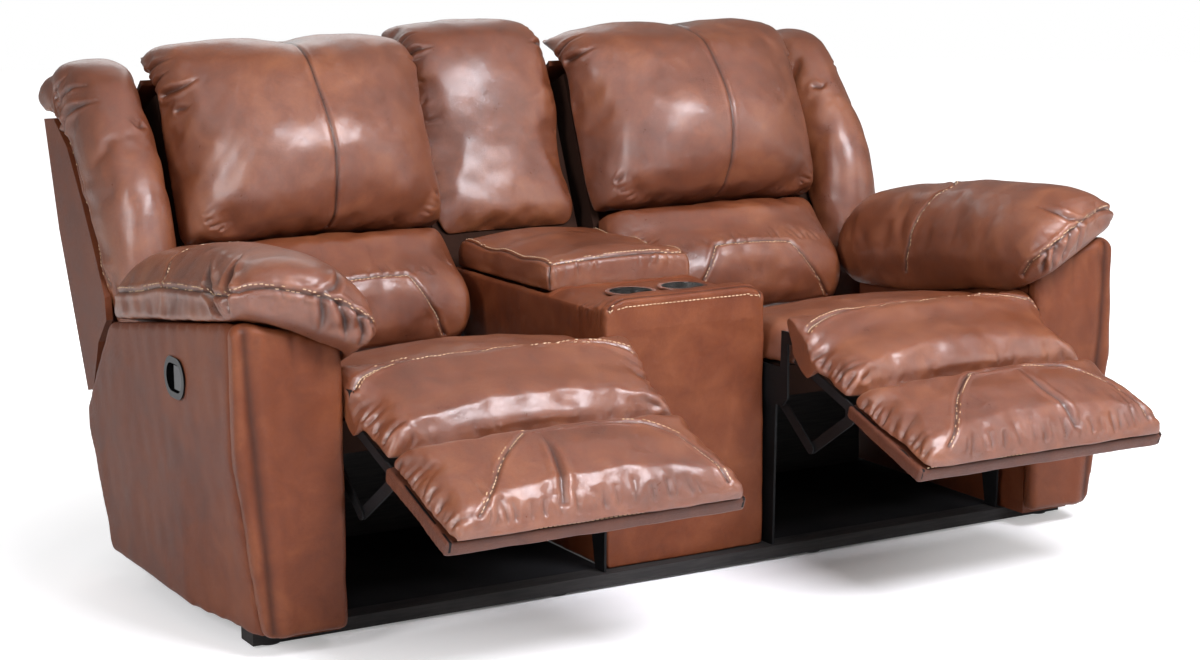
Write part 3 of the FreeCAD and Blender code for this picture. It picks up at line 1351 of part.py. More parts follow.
def make_lid():
    half = at.lid_half
    board = box(
        "lid_board_form",
        ("-1 * Sizes.lid_half", "Places.lid_front_y", "Places.lid_bottom"),
        ("Sizes.lid_half", "Places.lid_rear_y", "Places.lid_bottom + Sizes.console_board"),
    )
    keep("console_lid_board", board)
    low = at.lid_bottom + at.console_board
    top = low + at.lid_pad_height
    edge = top - at.lid_edge_drop
    y0 = at.lid_front_y
    length = at.lid_rear_y - y0
    shape = [
        (0.000, half - 4, edge - 14, top - 24),
        (0.035, half, edge - 4, top - 12),
        (0.160, half + 1, edge, top - 2),
        (0.500, half + 1, edge, top),
        (0.840, half + 1, edge, top - 2),
        (0.965, half, edge - 4, top - 12),
        (1.000, half - 4, edge - 14, top - 24),
    ]
    stations = [(y0 + s * length, w, low, e, c) for s, w, e, c in shape]
    keep("console_lid_pad", feature("lid_pad_form", cushion(0, stations, shoulder=8, puff=3)))


def make_lid_hinge():
    """Butt hinge: three knuckles on the console, two on the lid, one pin."""
    y = "Places.hinge_y"
    z = "Places.hinge_z"
    pitch = "Sizes.lid_half / 3"
    gap = "Sizes.plane_gap / 4"
    fixed = []
    moving = []
    for i in range(5):
        start = f"({i} - 2.5) * {pitch} + {gap}"
        length = f"{pitch} - 2 * {gap}"
        knuckle = rod(f"hinge_knuckle_{i}", "Sizes.hinge_radius", length, (start, y, z))
        if i % 2 == 0:
            drop = box(
                f"hinge_drop_{i}",
                (start, f"{y}", f"{z} - Sizes.hinge_reach"),
                (f"{start} + {length}", f"{y} + Sizes.hinge_leaf", z),
            )
            fixed += [knuckle, drop]
        else:
            leaf = box(
                f"hinge_leaf_{i}",
                (start, "Places.lid_rear_y", "Places.lid_bottom"),
                (f"{start} + {length}", y, "Places.lid_bottom + Sizes.hinge_leaf"),
            )
            bore = rod(f"hinge_bore_{i}", "Sizes.hinge_pin_radius + Sizes.pin_clearance", f"{length} + 2",
                       (f"{start} - 1", y, z))
            moving.append(cut(f"hinge_moving_{i}", fuse(f"hinge_solid_{i}", [knuckle, leaf]), bore))
    pin = rod("hinge_pin", "Sizes.hinge_pin_radius", f"5 * {pitch}", (f"-2.5 * {pitch}", y, z))
    ledge = box(
        "hinge_ledge",
        (f"-2.5 * {pitch}", "Places.box_rear_y", f"{z} - Sizes.hinge_reach"),
        (f"2.5 * {pitch}", f"{y} + Sizes.hinge_leaf", f"{z} - Sizes.hinge_reach / 2"),
    )
    keep("console_hinge_base", fuse("hinge_fixed", fixed + [pin, ledge]))
    keep("console_hinge_lid", group("hinge_lid_leaves", moving))


def make_console_back():
    half = "Sizes.console_back_half"
    board = "Sizes.board"
    sheet = "Sizes.back_sheet"
    front_y = "Places.console_back_y"
    low = "Places.bin_floor - 2 * Sizes.board"
    knee = "Sizes.console_height - Sizes.hinge_reach"
    top = "Sizes.console_back_top"
    foot_y = f"{front_y} + Sizes.console_back_foot"
    knee_y = f"{foot_y} + 0.4 * ({knee} - ({low})) + Sizes.console_back_foot"
    crest_y = f"{front_y} + tan(Sizes.back_tilt * 1 deg) * ({top} - ({knee}))"
    heel_y = f"{crest_y} + Sizes.console_back_depth"
    side = [
        ("Places.box_rear_y", low),
        (foot_y, low),
        (knee_y, knee),
        (heel_y, top),
        (crest_y, top),
        (front_y, knee),
        ("Places.box_rear_y", knee),
    ]
    face = [
        (front_y, knee),
        (f"{front_y} + {board}", knee),
        (f"{crest_y} + {board}", top),
        (crest_y, top),
    ]
    rear = [
        (foot_y, low),
        (f"{foot_y} + {sheet}", low),
        (f"{knee_y} + {sheet}", knee),
        (f"{heel_y} + {sheet}", top),
        (heel_y, top),
        (knee_y, knee),
    ]
    right = plate("console_back_right_board", side, f"{half} - {board}", board)
    left = plate("console_back_left_board", side, f"-1 * {half}", board)
    middle = plate("console_back_front_board", face, f"-1 * {half} + {board}", f"2 * ({half} - {board})")
    cap = box(
        "console_back_top_board",
        (f"-1 * {half} + {board}", f"{crest_y} + {board}", f"{top} - {board}"),
        (f"{half} - {board}", heel_y + " - 8", top),
    )
    keep("console_back_frame", group("console_back_boards", [right, left, middle, cap]))
    keep("console_back_cover", plate("console_back_sheet", rear, f"-1 * {half}", f"2 * {half}"))
    # The pad leans with the seat backs and curls over the frame's top
    foot = Vector(0, at.console_back_y, at.console_height - at.hinge_reach)
    frame_rise = (at.console_back_top - foot.z) / math.cos(math.radians(at.back_tilt))
    start = at.console_pad_bottom
    length = frame_rise + at.console_pad_rise - start
    gap = at.soft_gap
    curl = at.console_back_depth
    swell = at.console_pad_crown
    # Share of the length, share of the width, underside, shoulder and crown
    shape = [
        (0.000, 0.90, gap, 0.13 * swell, 0.24 * swell),
        (0.030, 0.97, gap, 0.24 * swell, 0.45 * swell),
        (0.150, 1.00, gap, 0.40 * swell, 0.69 * swell),
        (0.450, 1.00, gap, 0.56 * swell, 0.88 * swell),
        (0.720, 1.00, gap, 0.61 * swell, swell),
        (0.860, 1.00, -0.47 * curl, 0.35 * swell, 0.72 * swell),
        (0.940, 0.98, -1.04 * curl, -0.15 * curl, 0.11 * curl),
        (0.985, 0.95, -1.20 * curl, -0.57 * curl, -0.30 * curl),
        (1.000, 0.88, -1.20 * curl, -0.83 * curl, -0.64 * curl),
    ]
    reach = at.console_back_half - at.puff
    stations = [(start + s * length, w * reach, b, e, c) for s, w, b, e, c in shape]
    soft = cushion(0, stations, standing=True, shoulder=24)
    lean = FreeCAD.Rotation(X_AXIS, -at.back_tilt)
    soft.Placement = FreeCAD.Placement(foot, lean)
    wide = at.console_width
    far = at.overall_width / 2
    frame = block(Vector(-wide, foot.y - wide, 0), Vector(wide, foot.y + far, at.console_back_top + gap))
    front_half = block(Vector(-wide, -wide, -wide), Vector(wide, -gap, far))
    front_half.Placement = FreeCAD.Placement(foot, lean)
    face_part = soft.common(front_half)
    top_part = soft.cut(frame)
    keep("console_back_pad", feature("console_back_pad_form", face_part.fuse(top_part).removeSplitter()))


make_base()
make_arm_frame()
make_side_panel()
make_arm_front()
make_arm_pad()
make_release_handle()
make_seat_box()
make_seat_springs()
make_seat_cushion()
make_mechanism()
make_leg_brackets()
make_footrest_board()
make_leg_pads()
make_links()
make_back_brackets()
make_back_frame()
make_back_springs()
make_head_cushion()
make_lumbar_cushion()
make_wing_bolster()
make_back_cover()
make_console_box()
make_deck()
make_lid()
make_lid_hinge()
make_console_back()
doc.recompute()

# Nothing is written unless every object is sound
faults = []
for thing in doc.Objects:
    if "Invalid" in thing.State or "Error" in thing.State:
        faults.append(f"{thing.Name}: {thing.State}")
for name, thing in nodes.items():
    shape = thing.Shape
    if shape.isNull() or not shape.isValid() or not shape.Solids or shape.Volume <= 0:
        faults.append(f"{name}: unsound shape")
if faults:
    raise RuntimeError("; ".join(faults))

os.makedirs("parts", exist_ok=True)
whole = FreeCAD.BoundBox()
for name, thing in nodes.items():
    thing.Shape.exportStep(f"parts/{name}.step")
    whole.add(thing.Shape.BoundBox)
print(len(nodes), "sub-parts")
print("from", [round(v, 1) for v in (whole.XMin, whole.YMin, whole.ZMin)])
print("to", [round(v, 1) for v in (whole.XMax, whole.YMax, whole.ZMax)])
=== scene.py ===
"""Reclining loveseat with a centre console: leather, seams and finishes on the CAD frame."""
import json
import math

import bpy
import numpy as np
from mathutils import Matrix, Vector
from mathutils.bvhtree import BVHTree

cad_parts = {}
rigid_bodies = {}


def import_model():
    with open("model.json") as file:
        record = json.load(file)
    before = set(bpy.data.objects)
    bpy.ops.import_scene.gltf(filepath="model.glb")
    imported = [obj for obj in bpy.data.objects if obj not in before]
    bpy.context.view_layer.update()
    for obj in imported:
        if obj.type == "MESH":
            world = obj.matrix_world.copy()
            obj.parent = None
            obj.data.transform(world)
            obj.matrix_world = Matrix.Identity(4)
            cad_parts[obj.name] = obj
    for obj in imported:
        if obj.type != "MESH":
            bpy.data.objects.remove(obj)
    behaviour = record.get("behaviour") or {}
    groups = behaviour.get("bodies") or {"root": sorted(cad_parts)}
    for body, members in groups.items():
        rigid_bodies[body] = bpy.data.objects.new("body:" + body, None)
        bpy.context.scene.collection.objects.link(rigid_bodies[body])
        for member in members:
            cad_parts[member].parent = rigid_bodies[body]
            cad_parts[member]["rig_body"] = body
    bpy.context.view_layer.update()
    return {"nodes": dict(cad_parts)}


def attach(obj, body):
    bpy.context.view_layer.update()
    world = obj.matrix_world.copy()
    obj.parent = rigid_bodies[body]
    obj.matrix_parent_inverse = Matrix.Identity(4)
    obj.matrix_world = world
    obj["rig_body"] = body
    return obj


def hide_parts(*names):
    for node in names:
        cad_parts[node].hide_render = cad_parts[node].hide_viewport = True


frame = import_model()
scene = bpy.context.scene
nodes = frame["nodes"]
SEAT_X = 0.4815                     # the middle of a seat, from the middle of the object
BACK_LEAN = math.radians(22)
LEG_SLOPE = math.radians(19.5)
SNAP_REACH = 0.0032                 # a form this near its CAD face goes back on it
SEAM_PULL = 0.010                   # how far off mesh points are drawn to a seam
FOLD_PULL = 0.008                   # and to a fold
WEAR_AND_SHADE_LIFT = 0.003                   # a rise over its surroundings that counts as fully worn; a dip below them is darkened as painted shade
SEAM_SHADE = 0.0022                 # how far from a seam its shade reaches
SEAT_HALF = 0.292                   # half the width of a seat cushion
PAD_HALF = 0.29                     # and of a calf pad
SEAT_TUCK = 0.125                   # the seat cushion's run to the rear, under the back cushion
WING_FOOT = 0.145                   # the wing bolster's run down behind the arm
ARM_FOOT = 0.026                    # the arm pad's run down to the seat
BOARD_FLAP = 0.030                  # the footrest board's leather, to the rear
BOARD_PADDING = 0.010               # and below the board


# the ways that the back's front and the leg rest's top face

BACK_AHEAD = Vector((0, -math.cos(BACK_LEAN), math.sin(BACK_LEAN)))
LEG_UP = Vector((0, -math.sin(LEG_SLOPE), math.cos(LEG_SLOPE)))


# mesh tools

def points_of(mesh):
    flat = np.empty(3 * len(mesh.vertices))
    mesh.vertices.foreach_get("co", flat)
    return flat.reshape(-1, 3)


def normals_of(mesh):
    flat = np.empty(3 * len(mesh.vertices))
    mesh.vertex_normals.foreach_get("vector", flat)
    return flat.reshape(-1, 3)


def edges_of(mesh):
    flat = np.empty(2 * len(mesh.edges), dtype=np.int32)
    mesh.edges.foreach_get("vertices", flat)
    return flat.reshape(-1, 2)


def set_points(mesh, points):
    mesh.vertices.foreach_set("co", points.ravel())
    mesh.update()


def link(name, mesh):
    obj = bpy.data.objects.new(name, mesh)
    scene.collection.objects.link(obj)
    return obj


def applied(obj):
    """Its modifiers become its mesh."""
    graph = bpy.context.evaluated_depsgraph_get()
    mesh = bpy.data.meshes.new_from_object(obj.evaluated_get(graph))
    obj.modifiers.clear()
    old = obj.data
    obj.data = mesh
    bpy.data.meshes.remove(old)


def relaxed(points, edges, rounds, amount=0.5):
    """Each point drawn towards its neighbours' middle."""
    a, b = edges[:, 0], edges[:, 1]
    size = len(points)
    count = np.maximum(np.bincount(a, minlength=size) + np.bincount(b, minlength=size), 1)
    points = points.copy()
    for _ in range(rounds):
        for axis in range(3):
            line = points[:, axis]
            total = np.bincount(a, line[b], size) + np.bincount(b, line[a], size)
            points[:, axis] = line + (total / count - line) * amount
    return points


def subdivided(obj):
    modifier = obj.modifiers.new("Subdivision", "SUBSURF")
    modifier.levels = 1
    modifier.render_levels = 1
    applied(obj)


def billowed(obj, back, pressure=4.0, cap=0.014, spare=0.03, frames=20):
    """The leather filled from inside; what faces `back` stays on its frame."""
    start = points_of(obj.data)
    held = normals_of(obj.data) @ np.array(back) > 0.3
    group = obj.vertex_groups.new(name="held")
    group.add([int(i) for i in np.nonzero(held)[0]], 1.0, "REPLACE")
    cloth = obj.modifiers.new("Cloth", "CLOTH")
    settings = cloth.settings
    settings.quality = 4
    settings.mass = 0.4
    settings.tension_stiffness = 18
    settings.compression_stiffness = 18
    settings.bending_stiffness = 1.0
    settings.use_pressure = True
    settings.uniform_pressure_force = pressure
    settings.effector_weights.gravity = 0
    settings.vertex_group_mass = "held"
    settings.shrink_min = -spare
    cloth.collision_settings.use_collision = False
    cloth.collision_settings.use_self_collision = False
    cloth.point_cache.frame_start = 1
    cloth.point_cache.frame_end = frames
    for step in range(1, frames + 1):
        scene.frame_set(step)
    applied(obj)
    scene.frame_set(1)
    obj.vertex_groups.clear()
    move = points_of(obj.data) - start
    reach = np.linalg.norm(move, axis=1, keepdims=True)
    limited = start + move * np.minimum(1.0, cap / np.maximum(reach, 1e-9))
    set_points(obj.data, relaxed(limited, edges_of(obj.data), 5, 0.5))


def waves(points, seed, length, count=14):
    """Seeded even noise, about -1 to 1, made of crossing waves."""
    random = np.random.default_rng(seed)
    total = np.zeros(len(points))
    for _ in range(count):
        way = random.normal(size=3)
        way *= 2 * math.pi / (np.linalg.norm(way) * length * random.uniform(0.6, 1.6))
        total += np.sin(points @ way + random.uniform(0, 2 * math.pi))
    return total / math.sqrt(count / 2) / 1.6


# seams and folds

def curve_through(points, step=0.002, corners=()):
    """Even samples of a smooth line through the points; `corners` stay sharp."""
    points = [Vector(p) for p in points]
    runs = []
    start = 0
    for stop in list(corners) + [len(points) - 1]:
        runs.append(points[start:stop + 1])
        start = stop
    samples = []
    for run in runs:
        ends = [2 * run[0] - run[1]] + run + [2 * run[-1] - run[-2]]
        for i in range(1, len(ends) - 2):
            p0, p1, p2, p3 = ends[i - 1:i + 3]
            number = max(2, int((p2 - p1).length / step))
            for k in range(number):
                t = k / number
                samples.append(0.5 * (2 * p1 + (p2 - p0) * t + (2 * p0 - 5 * p1 + 4 * p2 - p3) * t ** 2
                                      + (3 * p1 - p0 - 3 * p2 + p3) * t ** 3))
        samples.append(run[-1])
    return samples


def surface_of(obj):
    return BVHTree.FromObject(obj, bpy.context.evaluated_depsgraph_get())


def laid(tree, line, away=None):
    """The line dropped on the surface, from outside along `away` or to the nearest point."""
    found = []
    for point in line:
        hit = None
        if away is not None:
            hit = tree.ray_cast(point + away * 0.25, -away, 0.5)[0]
        if hit is None:
            hit = tree.find_nearest(point)[0]
        found.append(hit)
    return np.array([list(p) for p in found])


def seam(obj, points, away=None, corners=(), step=0.002):
    """A seam's path on the piece, with its length along it."""
    path = laid(surface_of(obj), curve_through(points, step, corners), away)
    steps = np.linalg.norm(np.diff(path, axis=0), axis=1)
    keep = np.concatenate(([True], steps > 1e-5))
    path = path[keep]
    along = np.concatenate(([0], np.cumsum(np.linalg.norm(np.diff(path, axis=0), axis=1))))
    return path, along


def near(points, path, reach):
    """Which points lie within reach of a path, how far off, and at which sample."""
    low = path.min(axis=0) - reach
    high = path.max(axis=0) + reach
    inside = np.nonzero(np.all((points > low) & (points < high), axis=1))[0]
    far = []
    sample = []
    for start in range(0, len(inside), 4000):
        some = points[inside[start:start + 4000]]
        gaps = np.linalg.norm(some[:, None, :] - path[None, :, :], axis=2)
        best = gaps.argmin(axis=1)
        sample.append(best)
        far.append(gaps[np.arange(len(some)), best])
    if not far:
        return inside, np.zeros(0), np.zeros(0, dtype=int)
    far = np.concatenate(far)
    sample = np.concatenate(sample)
    kept = far < reach
    return inside[kept], far[kept], sample[kept]


def capsule(sides=6):
    """A stitch along X, one long and one across, as points and faces."""
    rings = [(-0.5, 0.0), (-0.44, 0.32), (-0.25, 0.5), (0.25, 0.5), (0.44, 0.32), (0.5, 0.0)]
    points = []
    for x, r in rings:
        for k in range(sides):
            angle = 2 * math.pi * k / sides
            points.append((x, r * math.cos(angle), r * math.sin(angle)))
    faces = []
    for ring in range(len(rings) - 1):
        for k in range(sides):
            a = ring * sides + k
            b = ring * sides + (k + 1) % sides
            faces.append((a, b, b + sides, a + sides))
    return np.array(points), faces


STITCH_POINTS, STITCH_FACES = capsule()


def turned(points, side):
    """Right-hand points, or their left-hand twins."""
    return [(x * side, y, z) for x, y, z in points]


class Leather:
    """A piece of leather in work: seams and folds are gathered, then pressed in together."""

    def __init__(self, name, mesh, side=1):
        self.name = name
        self.obj = link(name, mesh)
        self.side = side
        self.seams = []
        self.folds = []
        self.rows = []

    def moved(self, change):
        """The mesh with its points changed by a function."""
        set_points(self.obj.data, change(points_of(self.obj.data)))

    def path(self, points, corners=(), away=None):
        """A line on the piece and its length along it, given for the right-hand side."""
        return seam(self.obj, turned(points, self.side), away, corners)

    def seam(self, points, corners=(), away=None, depth=0.0035, width=0.003, shoulder=0.45, stitches=()):
        """A sewn line; `stitches` are the sideways places of its thread rows."""
        path = self.path(points, corners, away)
        self.seams.append((path, depth, width, shoulder))
        self.rows += [(path, aside * self.side) for aside in stitches]
        return path

    def crease(self, points, depth=0.005, width=0.005, shoulder=0.5, start=0.0, end=1.0, away=None):
        """A fold that is deep between the shares `start` and `end` of its length and runs out beyond."""
        path = self.path(points, (), away)
        share = path[1] / path[1][-1]
        strong = np.ones(len(share))
        if start > 0:
            strong *= np.clip(share / start, 0, 1) ** 1.3
        if end < 1:
            strong *= np.clip((1 - share) / (1 - end), 0, 1) ** 1.3
        self.folds.append((path[0], depth * strong, width * (0.45 + 0.55 * strong), shoulder))

    def gathers(self, path, seed, way, depth=0.003, pitch=0.02, reach=0.05, width=0.005, slant=0.3):
        """Creases of uneven length and spacing that run `way` from a line."""
        random = np.random.default_rng(seed)
        line, along = path
        way = Vector((way[0] * self.side, way[1], way[2])).normalized()
        tree = surface_of(self.obj)
        place = random.uniform(0, pitch)
        while place < along[-1]:
            long = reach * random.uniform(0.4, 1.3)
            here = Vector([np.interp(place, along, line[:, axis]) for axis in range(3)])
            later = Vector([np.interp(place + 0.01, along, line[:, axis]) for axis in range(3)])
            lean = (later - here).normalized() if (later - here).length > 1e-6 else Vector((0, 0, 0))
            heading = (way + lean * random.uniform(-slant, slant)).normalized()
            bend = lean * random.uniform(-0.25, 0.25) * long
            run = []
            for share in np.linspace(0, 1, max(4, int(long / 0.003))):
                spot = here + heading * (long * share) + bend * share ** 2
                run.append(tree.find_nearest(spot)[0])
            run = np.array([list(p) for p in run])
            share = np.linspace(0, 1, len(run))
            strong = (1 - share) ** 1.1 * np.clip(share * 8 + 0.5, 0, 1)
            self.folds.append((run, depth * random.uniform(0.4, 1.2) * strong,
                               width * random.uniform(0.7, 1.5) * (0.6 + 0.6 * share), 0.55))
            place += pitch * random.uniform(0.5, 1.5)

    def swell(self, place, reach, height):
        """A soft rise, or a hollow where the height is negative."""
        self.folds.append((np.array(turned([place], self.side)), np.array([-height]), np.array([reach]), 0.0))

    def pressed(self, seed, uneven=0.0016, fine=0.0005, limits=None):
        """The mesh with all of it: points drawn to the seams, then raised and lowered."""
        mesh = self.obj.data
        points = points_of(mesh)
        edges = edges_of(mesh)
        for (line, _), _, _, _ in self.seams:
            index, far, sample = near(points, line, SEAM_PULL)
            share = ((far / SEAM_PULL) ** 0.9)[:, None]
            points[index] = line[sample] + (points[index] - line[sample]) * share
        for line, _, width, _ in self.folds:
            if len(line) > 1 and width.max() < 0.02:
                index, far, sample = near(points, line, FOLD_PULL)
                share = ((far / FOLD_PULL) ** 0.5)[:, None]
                points[index] = line[sample] + (points[index] - line[sample]) * share
        set_points(mesh, points)
        normals = normals_of(mesh)
        rise = waves(points, seed, 0.16) * uneven + waves(points, seed + 1, 0.06) * fine
        # painted shade: the colour darkens in seams and folds, where shade falls; it goes to the mesh as its
        # fold value
        shade = np.zeros(len(points))
        for (line, _), depth, width, shoulder in self.seams:
            index, far, _ = near(points, line, 7 * width)
            dip = np.exp(-(far / width) ** 2)
            roll = np.exp(-((far - 2.8 * width) / (1.5 * width)) ** 2)
            rise[index] += depth * (shoulder * roll - dip)
            shade[index] = np.maximum(shade[index], np.exp(-(far / SEAM_SHADE) ** 2))
        for line, depth, width, shoulder in self.folds:
            index, far, sample = near(points, line, float(5 * width.max()))
            here = depth[sample]
            ratio = far / width[sample]
            dip = np.exp(-ratio ** 2)
            roll = np.exp(-((ratio - 2.2) / 1.2) ** 2)
            rise[index] += here * (shoulder * roll - dip)
            shade[index] = np.maximum(shade[index], np.clip(here / 0.006, 0, 0.8) * dip ** 2)
        points = points + normals * rise[:, None]
        if limits is not None:
            low, high = limits
            points[:, 0] = np.clip(points[:, 0], low, high)
        # the rise over the smoothed surface lightens raised crests as rubbed leather and darkens hollows as
        # painted shade
        smooth = relaxed(points, edges, 14, 0.6)
        lift = ((points - smooth) * normals).sum(axis=1) / WEAR_AND_SHADE_LIFT
        lift = relaxed(np.repeat(lift[:, None], 3, axis=1), edges, 6, 0.6)[:, 0]
        set_points(mesh, points)
        # the fold value is painted shade in seams and folds
        for name, value in (("fold", shade), ("crest_wear_and_hollow_shade", np.clip(0.5 + 0.5 * lift, 0, 1))):
            layer = mesh.attributes.new(name, "FLOAT", "POINT")
            layer.data.foreach_set("value", value.astype(np.float32))
        mesh.shade_smooth()

    def stand_for(self, replaced, material, slot):
        """The finish, the CAD nodes that it replaces, and its thread."""
        dress(self.obj, material)
        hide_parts(*replaced)
        body = bodies[replaced[0]]
        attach(self.obj, body)
        if self.rows:
            self.thread(body, slot)

    def thread(self, body, slot, long=0.0068, thick=0.0023, pitch=0.0090):
        """Stitches along the rows, as one piece on the leather."""
        tree = surface_of(self.obj)
        found = []
        faces = []
        for (line, along), aside in self.rows:
            for number in range(int(along[-1] / pitch)):
                s = (number + 0.5) * pitch
                ends = [Vector([np.interp(at, along, line[:, axis]) for axis in range(3)])
                        for at in (s - 0.004, s, s + 0.004)]
                tangent = (ends[2] - ends[0]).normalized()
                spot, normal = tree.find_nearest(ends[1])[:2]
                side = normal.cross(tangent)
                if side.length < 1e-3:
                    continue
                spot, normal = tree.find_nearest(spot + side.normalized() * aside)[:2]
                tangent = (tangent - normal * tangent.dot(normal)).normalized()
                side = normal.cross(tangent).normalized()
                turn = np.array([list(tangent), list(side), list(normal)])
                base = len(found) * len(STITCH_POINTS)
                size = np.array([long, thick, 0.8 * thick])
                found.append((STITCH_POINTS * size) @ turn + np.array(list(spot + normal * 0.0002)))
                faces.extend([tuple(base + i for i in face) for face in STITCH_FACES])
        mesh = bpy.data.meshes.new(self.name + "_thread")
        mesh.from_pydata(np.concatenate(found).tolist(), [], faces)
        mesh.shade_smooth()
        piece = link(self.name + "_thread", mesh)
        dress(piece, THREAD)
        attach(piece, body)


# materials

class Nodes:
    """Short calls for a material's node tree."""

    def __init__(self, name):
        self.material = bpy.data.materials.new(name)
        self.material.use_nodes = True
        self.tree = self.material.node_tree
        self.shader = self.tree.nodes["Principled BSDF"]
        self.place = self.tree.nodes.new("ShaderNodeTexCoord").outputs["Object"]

    def wire(self, start, end):
        self.tree.links.new(start, end)

    def feed(self, socket, value):
        if isinstance(value, bpy.types.NodeSocket):
            self.wire(value, socket)
        else:
            socket.default_value = value

    def stretched(self, scale):
        mapping = self.tree.nodes.new("ShaderNodeMapping")
        self.wire(self.place, mapping.inputs["Vector"])
        mapping.inputs["Scale"].default_value = scale
        return mapping.outputs["Vector"]

    def noise(self, scale, detail=3.0, rough=0.5, place=None, warp=0.0):
        node = self.tree.nodes.new("ShaderNodeTexNoise")
        self.wire(place or self.place, node.inputs["Vector"])
        node.inputs["Scale"].default_value = scale
        node.inputs["Detail"].default_value = detail
        node.inputs["Roughness"].default_value = rough
        node.inputs["Distortion"].default_value = warp
        return node.outputs["Fac"]

    def cells(self, scale, feature):
        node = self.tree.nodes.new("ShaderNodeTexVoronoi")
        self.wire(self.place, node.inputs["Vector"])
        node.feature = feature
        node.inputs["Scale"].default_value = scale
        return node.outputs["Distance"]

    def attribute(self, name):
        node = self.tree.nodes.new("ShaderNodeAttribute")
        node.attribute_name = name
        return node.outputs["Fac"]

    def ramp(self, value, stops):
        node = self.tree.nodes.new("ShaderNodeValToRGB")
        self.wire(value, node.inputs["Fac"])
        points = node.color_ramp.elements
        while len(points) < len(stops):
            points.new(0.5)
        for point, (at, colour) in zip(points, stops):
            point.position = at
            point.color = (*colour, 1)
        return node.outputs["Color"]

    def math(self, kind, a, b=0.0, c=0.0):
        node = self.tree.nodes.new("ShaderNodeMath")
        node.operation = kind
        for socket, value in zip(node.inputs, (a, b, c)):
            self.feed(socket, value)
        return node.outputs["Value"]

    def between(self, value, low, high, to_low=0.0, to_high=1.0):
        node = self.tree.nodes.new("ShaderNodeMapRange")
        self.feed(node.inputs["Value"], value)
        node.inputs["From Min"].default_value = low
        node.inputs["From Max"].default_value = high
        node.inputs["To Min"].default_value = to_low
        node.inputs["To Max"].default_value = to_high
        return node.outputs["Result"]

    def mixed(self, factor, a, b):
        node = self.tree.nodes.new("ShaderNodeMix")
        node.data_type = "RGBA"
        self.feed(node.inputs["Factor"], factor)
        for socket, value in ((node.inputs[6], a), (node.inputs[7], b)):
            if isinstance(value, tuple):
                value = (*value, 1)
            self.feed(socket, value)
        return node.outputs[2]

    def bump(self, height, distance, strength=1.0, over=None):
        node = self.tree.nodes.new("ShaderNodeBump")
        self.wire(height, node.inputs["Height"])
        node.inputs["Distance"].default_value = distance
        node.inputs["Strength"].default_value = strength
        if over is not None:
            self.wire(over, node.inputs["Normal"])
        return node.outputs["Normal"]

    def finish(self, **sockets):
        for name, value in sockets.items():
            self.feed(self.shader.inputs[name.replace("_", " ")], value)
        return self.material


def leather(name, dark, base, light, gloss, wear_and_painted_shade=True, shine=0.65, coat=0.14):
    """Cloudy leather with grain and pores; marked pieces get painted shade in seams, folds and hollows, and
    lighter rubbed crests.
    """
    n = Nodes(name)
    broad = n.noise(4.2, 2.0, 0.5, warp=0.3)
    cloud = n.noise(17.0, 4.0, 0.62, warp=0.5)
    grain = n.noise(190.0, 3.0, 0.6)
    tone = n.math("ADD", n.math("MULTIPLY", broad, 0.4), n.math("MULTIPLY", cloud, 0.5))
    tone = n.math("ADD", tone, 0.05)
    if wear_and_painted_shade:
        # lighter on raised crests as rubbed leather, darker in hollows as painted shade
        tone = n.math("ADD", tone, n.between(n.attribute("crest_wear_and_hollow_shade"), 0.2, 0.9, -0.05, 0.07))
    colour = n.ramp(tone, [(0.24, dark), (0.5, base), (0.78, light)])
    # painted shade: the fold value darkens the colour towards near-black in seams and folds
    if wear_and_painted_shade:
        colour = n.mixed(n.math("MULTIPLY", n.attribute("fold"), 0.85), colour,
                         tuple(0.22 * c for c in dark))
    pores = n.cells(560.0, "DISTANCE_TO_EDGE")
    pore = n.between(pores, 0.0, 0.14, 0.0, 1.0)
    colour = n.mixed(n.between(grain, 0.3, 0.7, 0.0, 0.16), colour, dark)
    colour = n.mixed(n.math("MULTIPLY", n.math("SUBTRACT", 1.0, pore), 0.14), colour, dark)
    rough = n.between(n.math("ADD", n.math("MULTIPLY", cloud, 0.5), n.math("MULTIPLY", grain, 0.5)),
                      0.3, 0.7, gloss - 0.04, gloss + 0.08)
    folds = n.noise(30.0, 2.0, 0.45, n.stretched((1.0, 1.0, 0.7)), warp=0.3)
    normal = n.bump(folds, 0.0012, 0.3)
    normal = n.bump(pore, 0.00028, 0.8, normal)
    normal = n.bump(grain, 0.0007, 0.6, normal)
    return n.finish(Base_Color=colour, Roughness=rough, Normal=normal, Specular_IOR_Level=shine,
                    Coat_Weight=coat, Coat_Roughness=0.2)


def wood(name, dark, light, rough=0.65):
    n = Nodes(name)
    fibre = n.noise(14.0, 5.0, 0.6, n.stretched((1.0, 9.0, 9.0)), warp=0.8)
    fine = n.noise(260.0, 2.0, 0.6, n.stretched((0.06, 1.0, 1.0)))
    colour = n.ramp(fibre, [(0.3, dark), (0.7, light)])
    colour = n.mixed(n.between(fine, 0.35, 0.7, 0.0, 0.35), colour, dark)
    return n.finish(Base_Color=colour, Roughness=n.between(fine, 0.3, 0.7, rough - 0.08, rough + 0.1),
                    Normal=n.bump(fine, 0.0004, 0.6))


def metal(name, dark, light, rough, metallic=1.0, scratch=0.5, specular=0.5):
    n = Nodes(name)
    smear = n.noise(9.0, 4.0, 0.6)
    lines = n.noise(340.0, 2.0, 0.5, n.stretched((1.0, 0.08, 1.0)))
    colour = n.ramp(smear, [(0.3, dark), (0.7, light)])
    return n.finish(Base_Color=colour, Metallic=metallic,
                    Roughness=n.between(n.math("ADD", smear, n.math("MULTIPLY", lines, scratch)), 0.4, 1.1,
                                        rough - 0.04, rough + 0.14),
                    Specular_IOR_Level=specular,
                    Normal=n.bump(lines, 0.00012, 0.5))


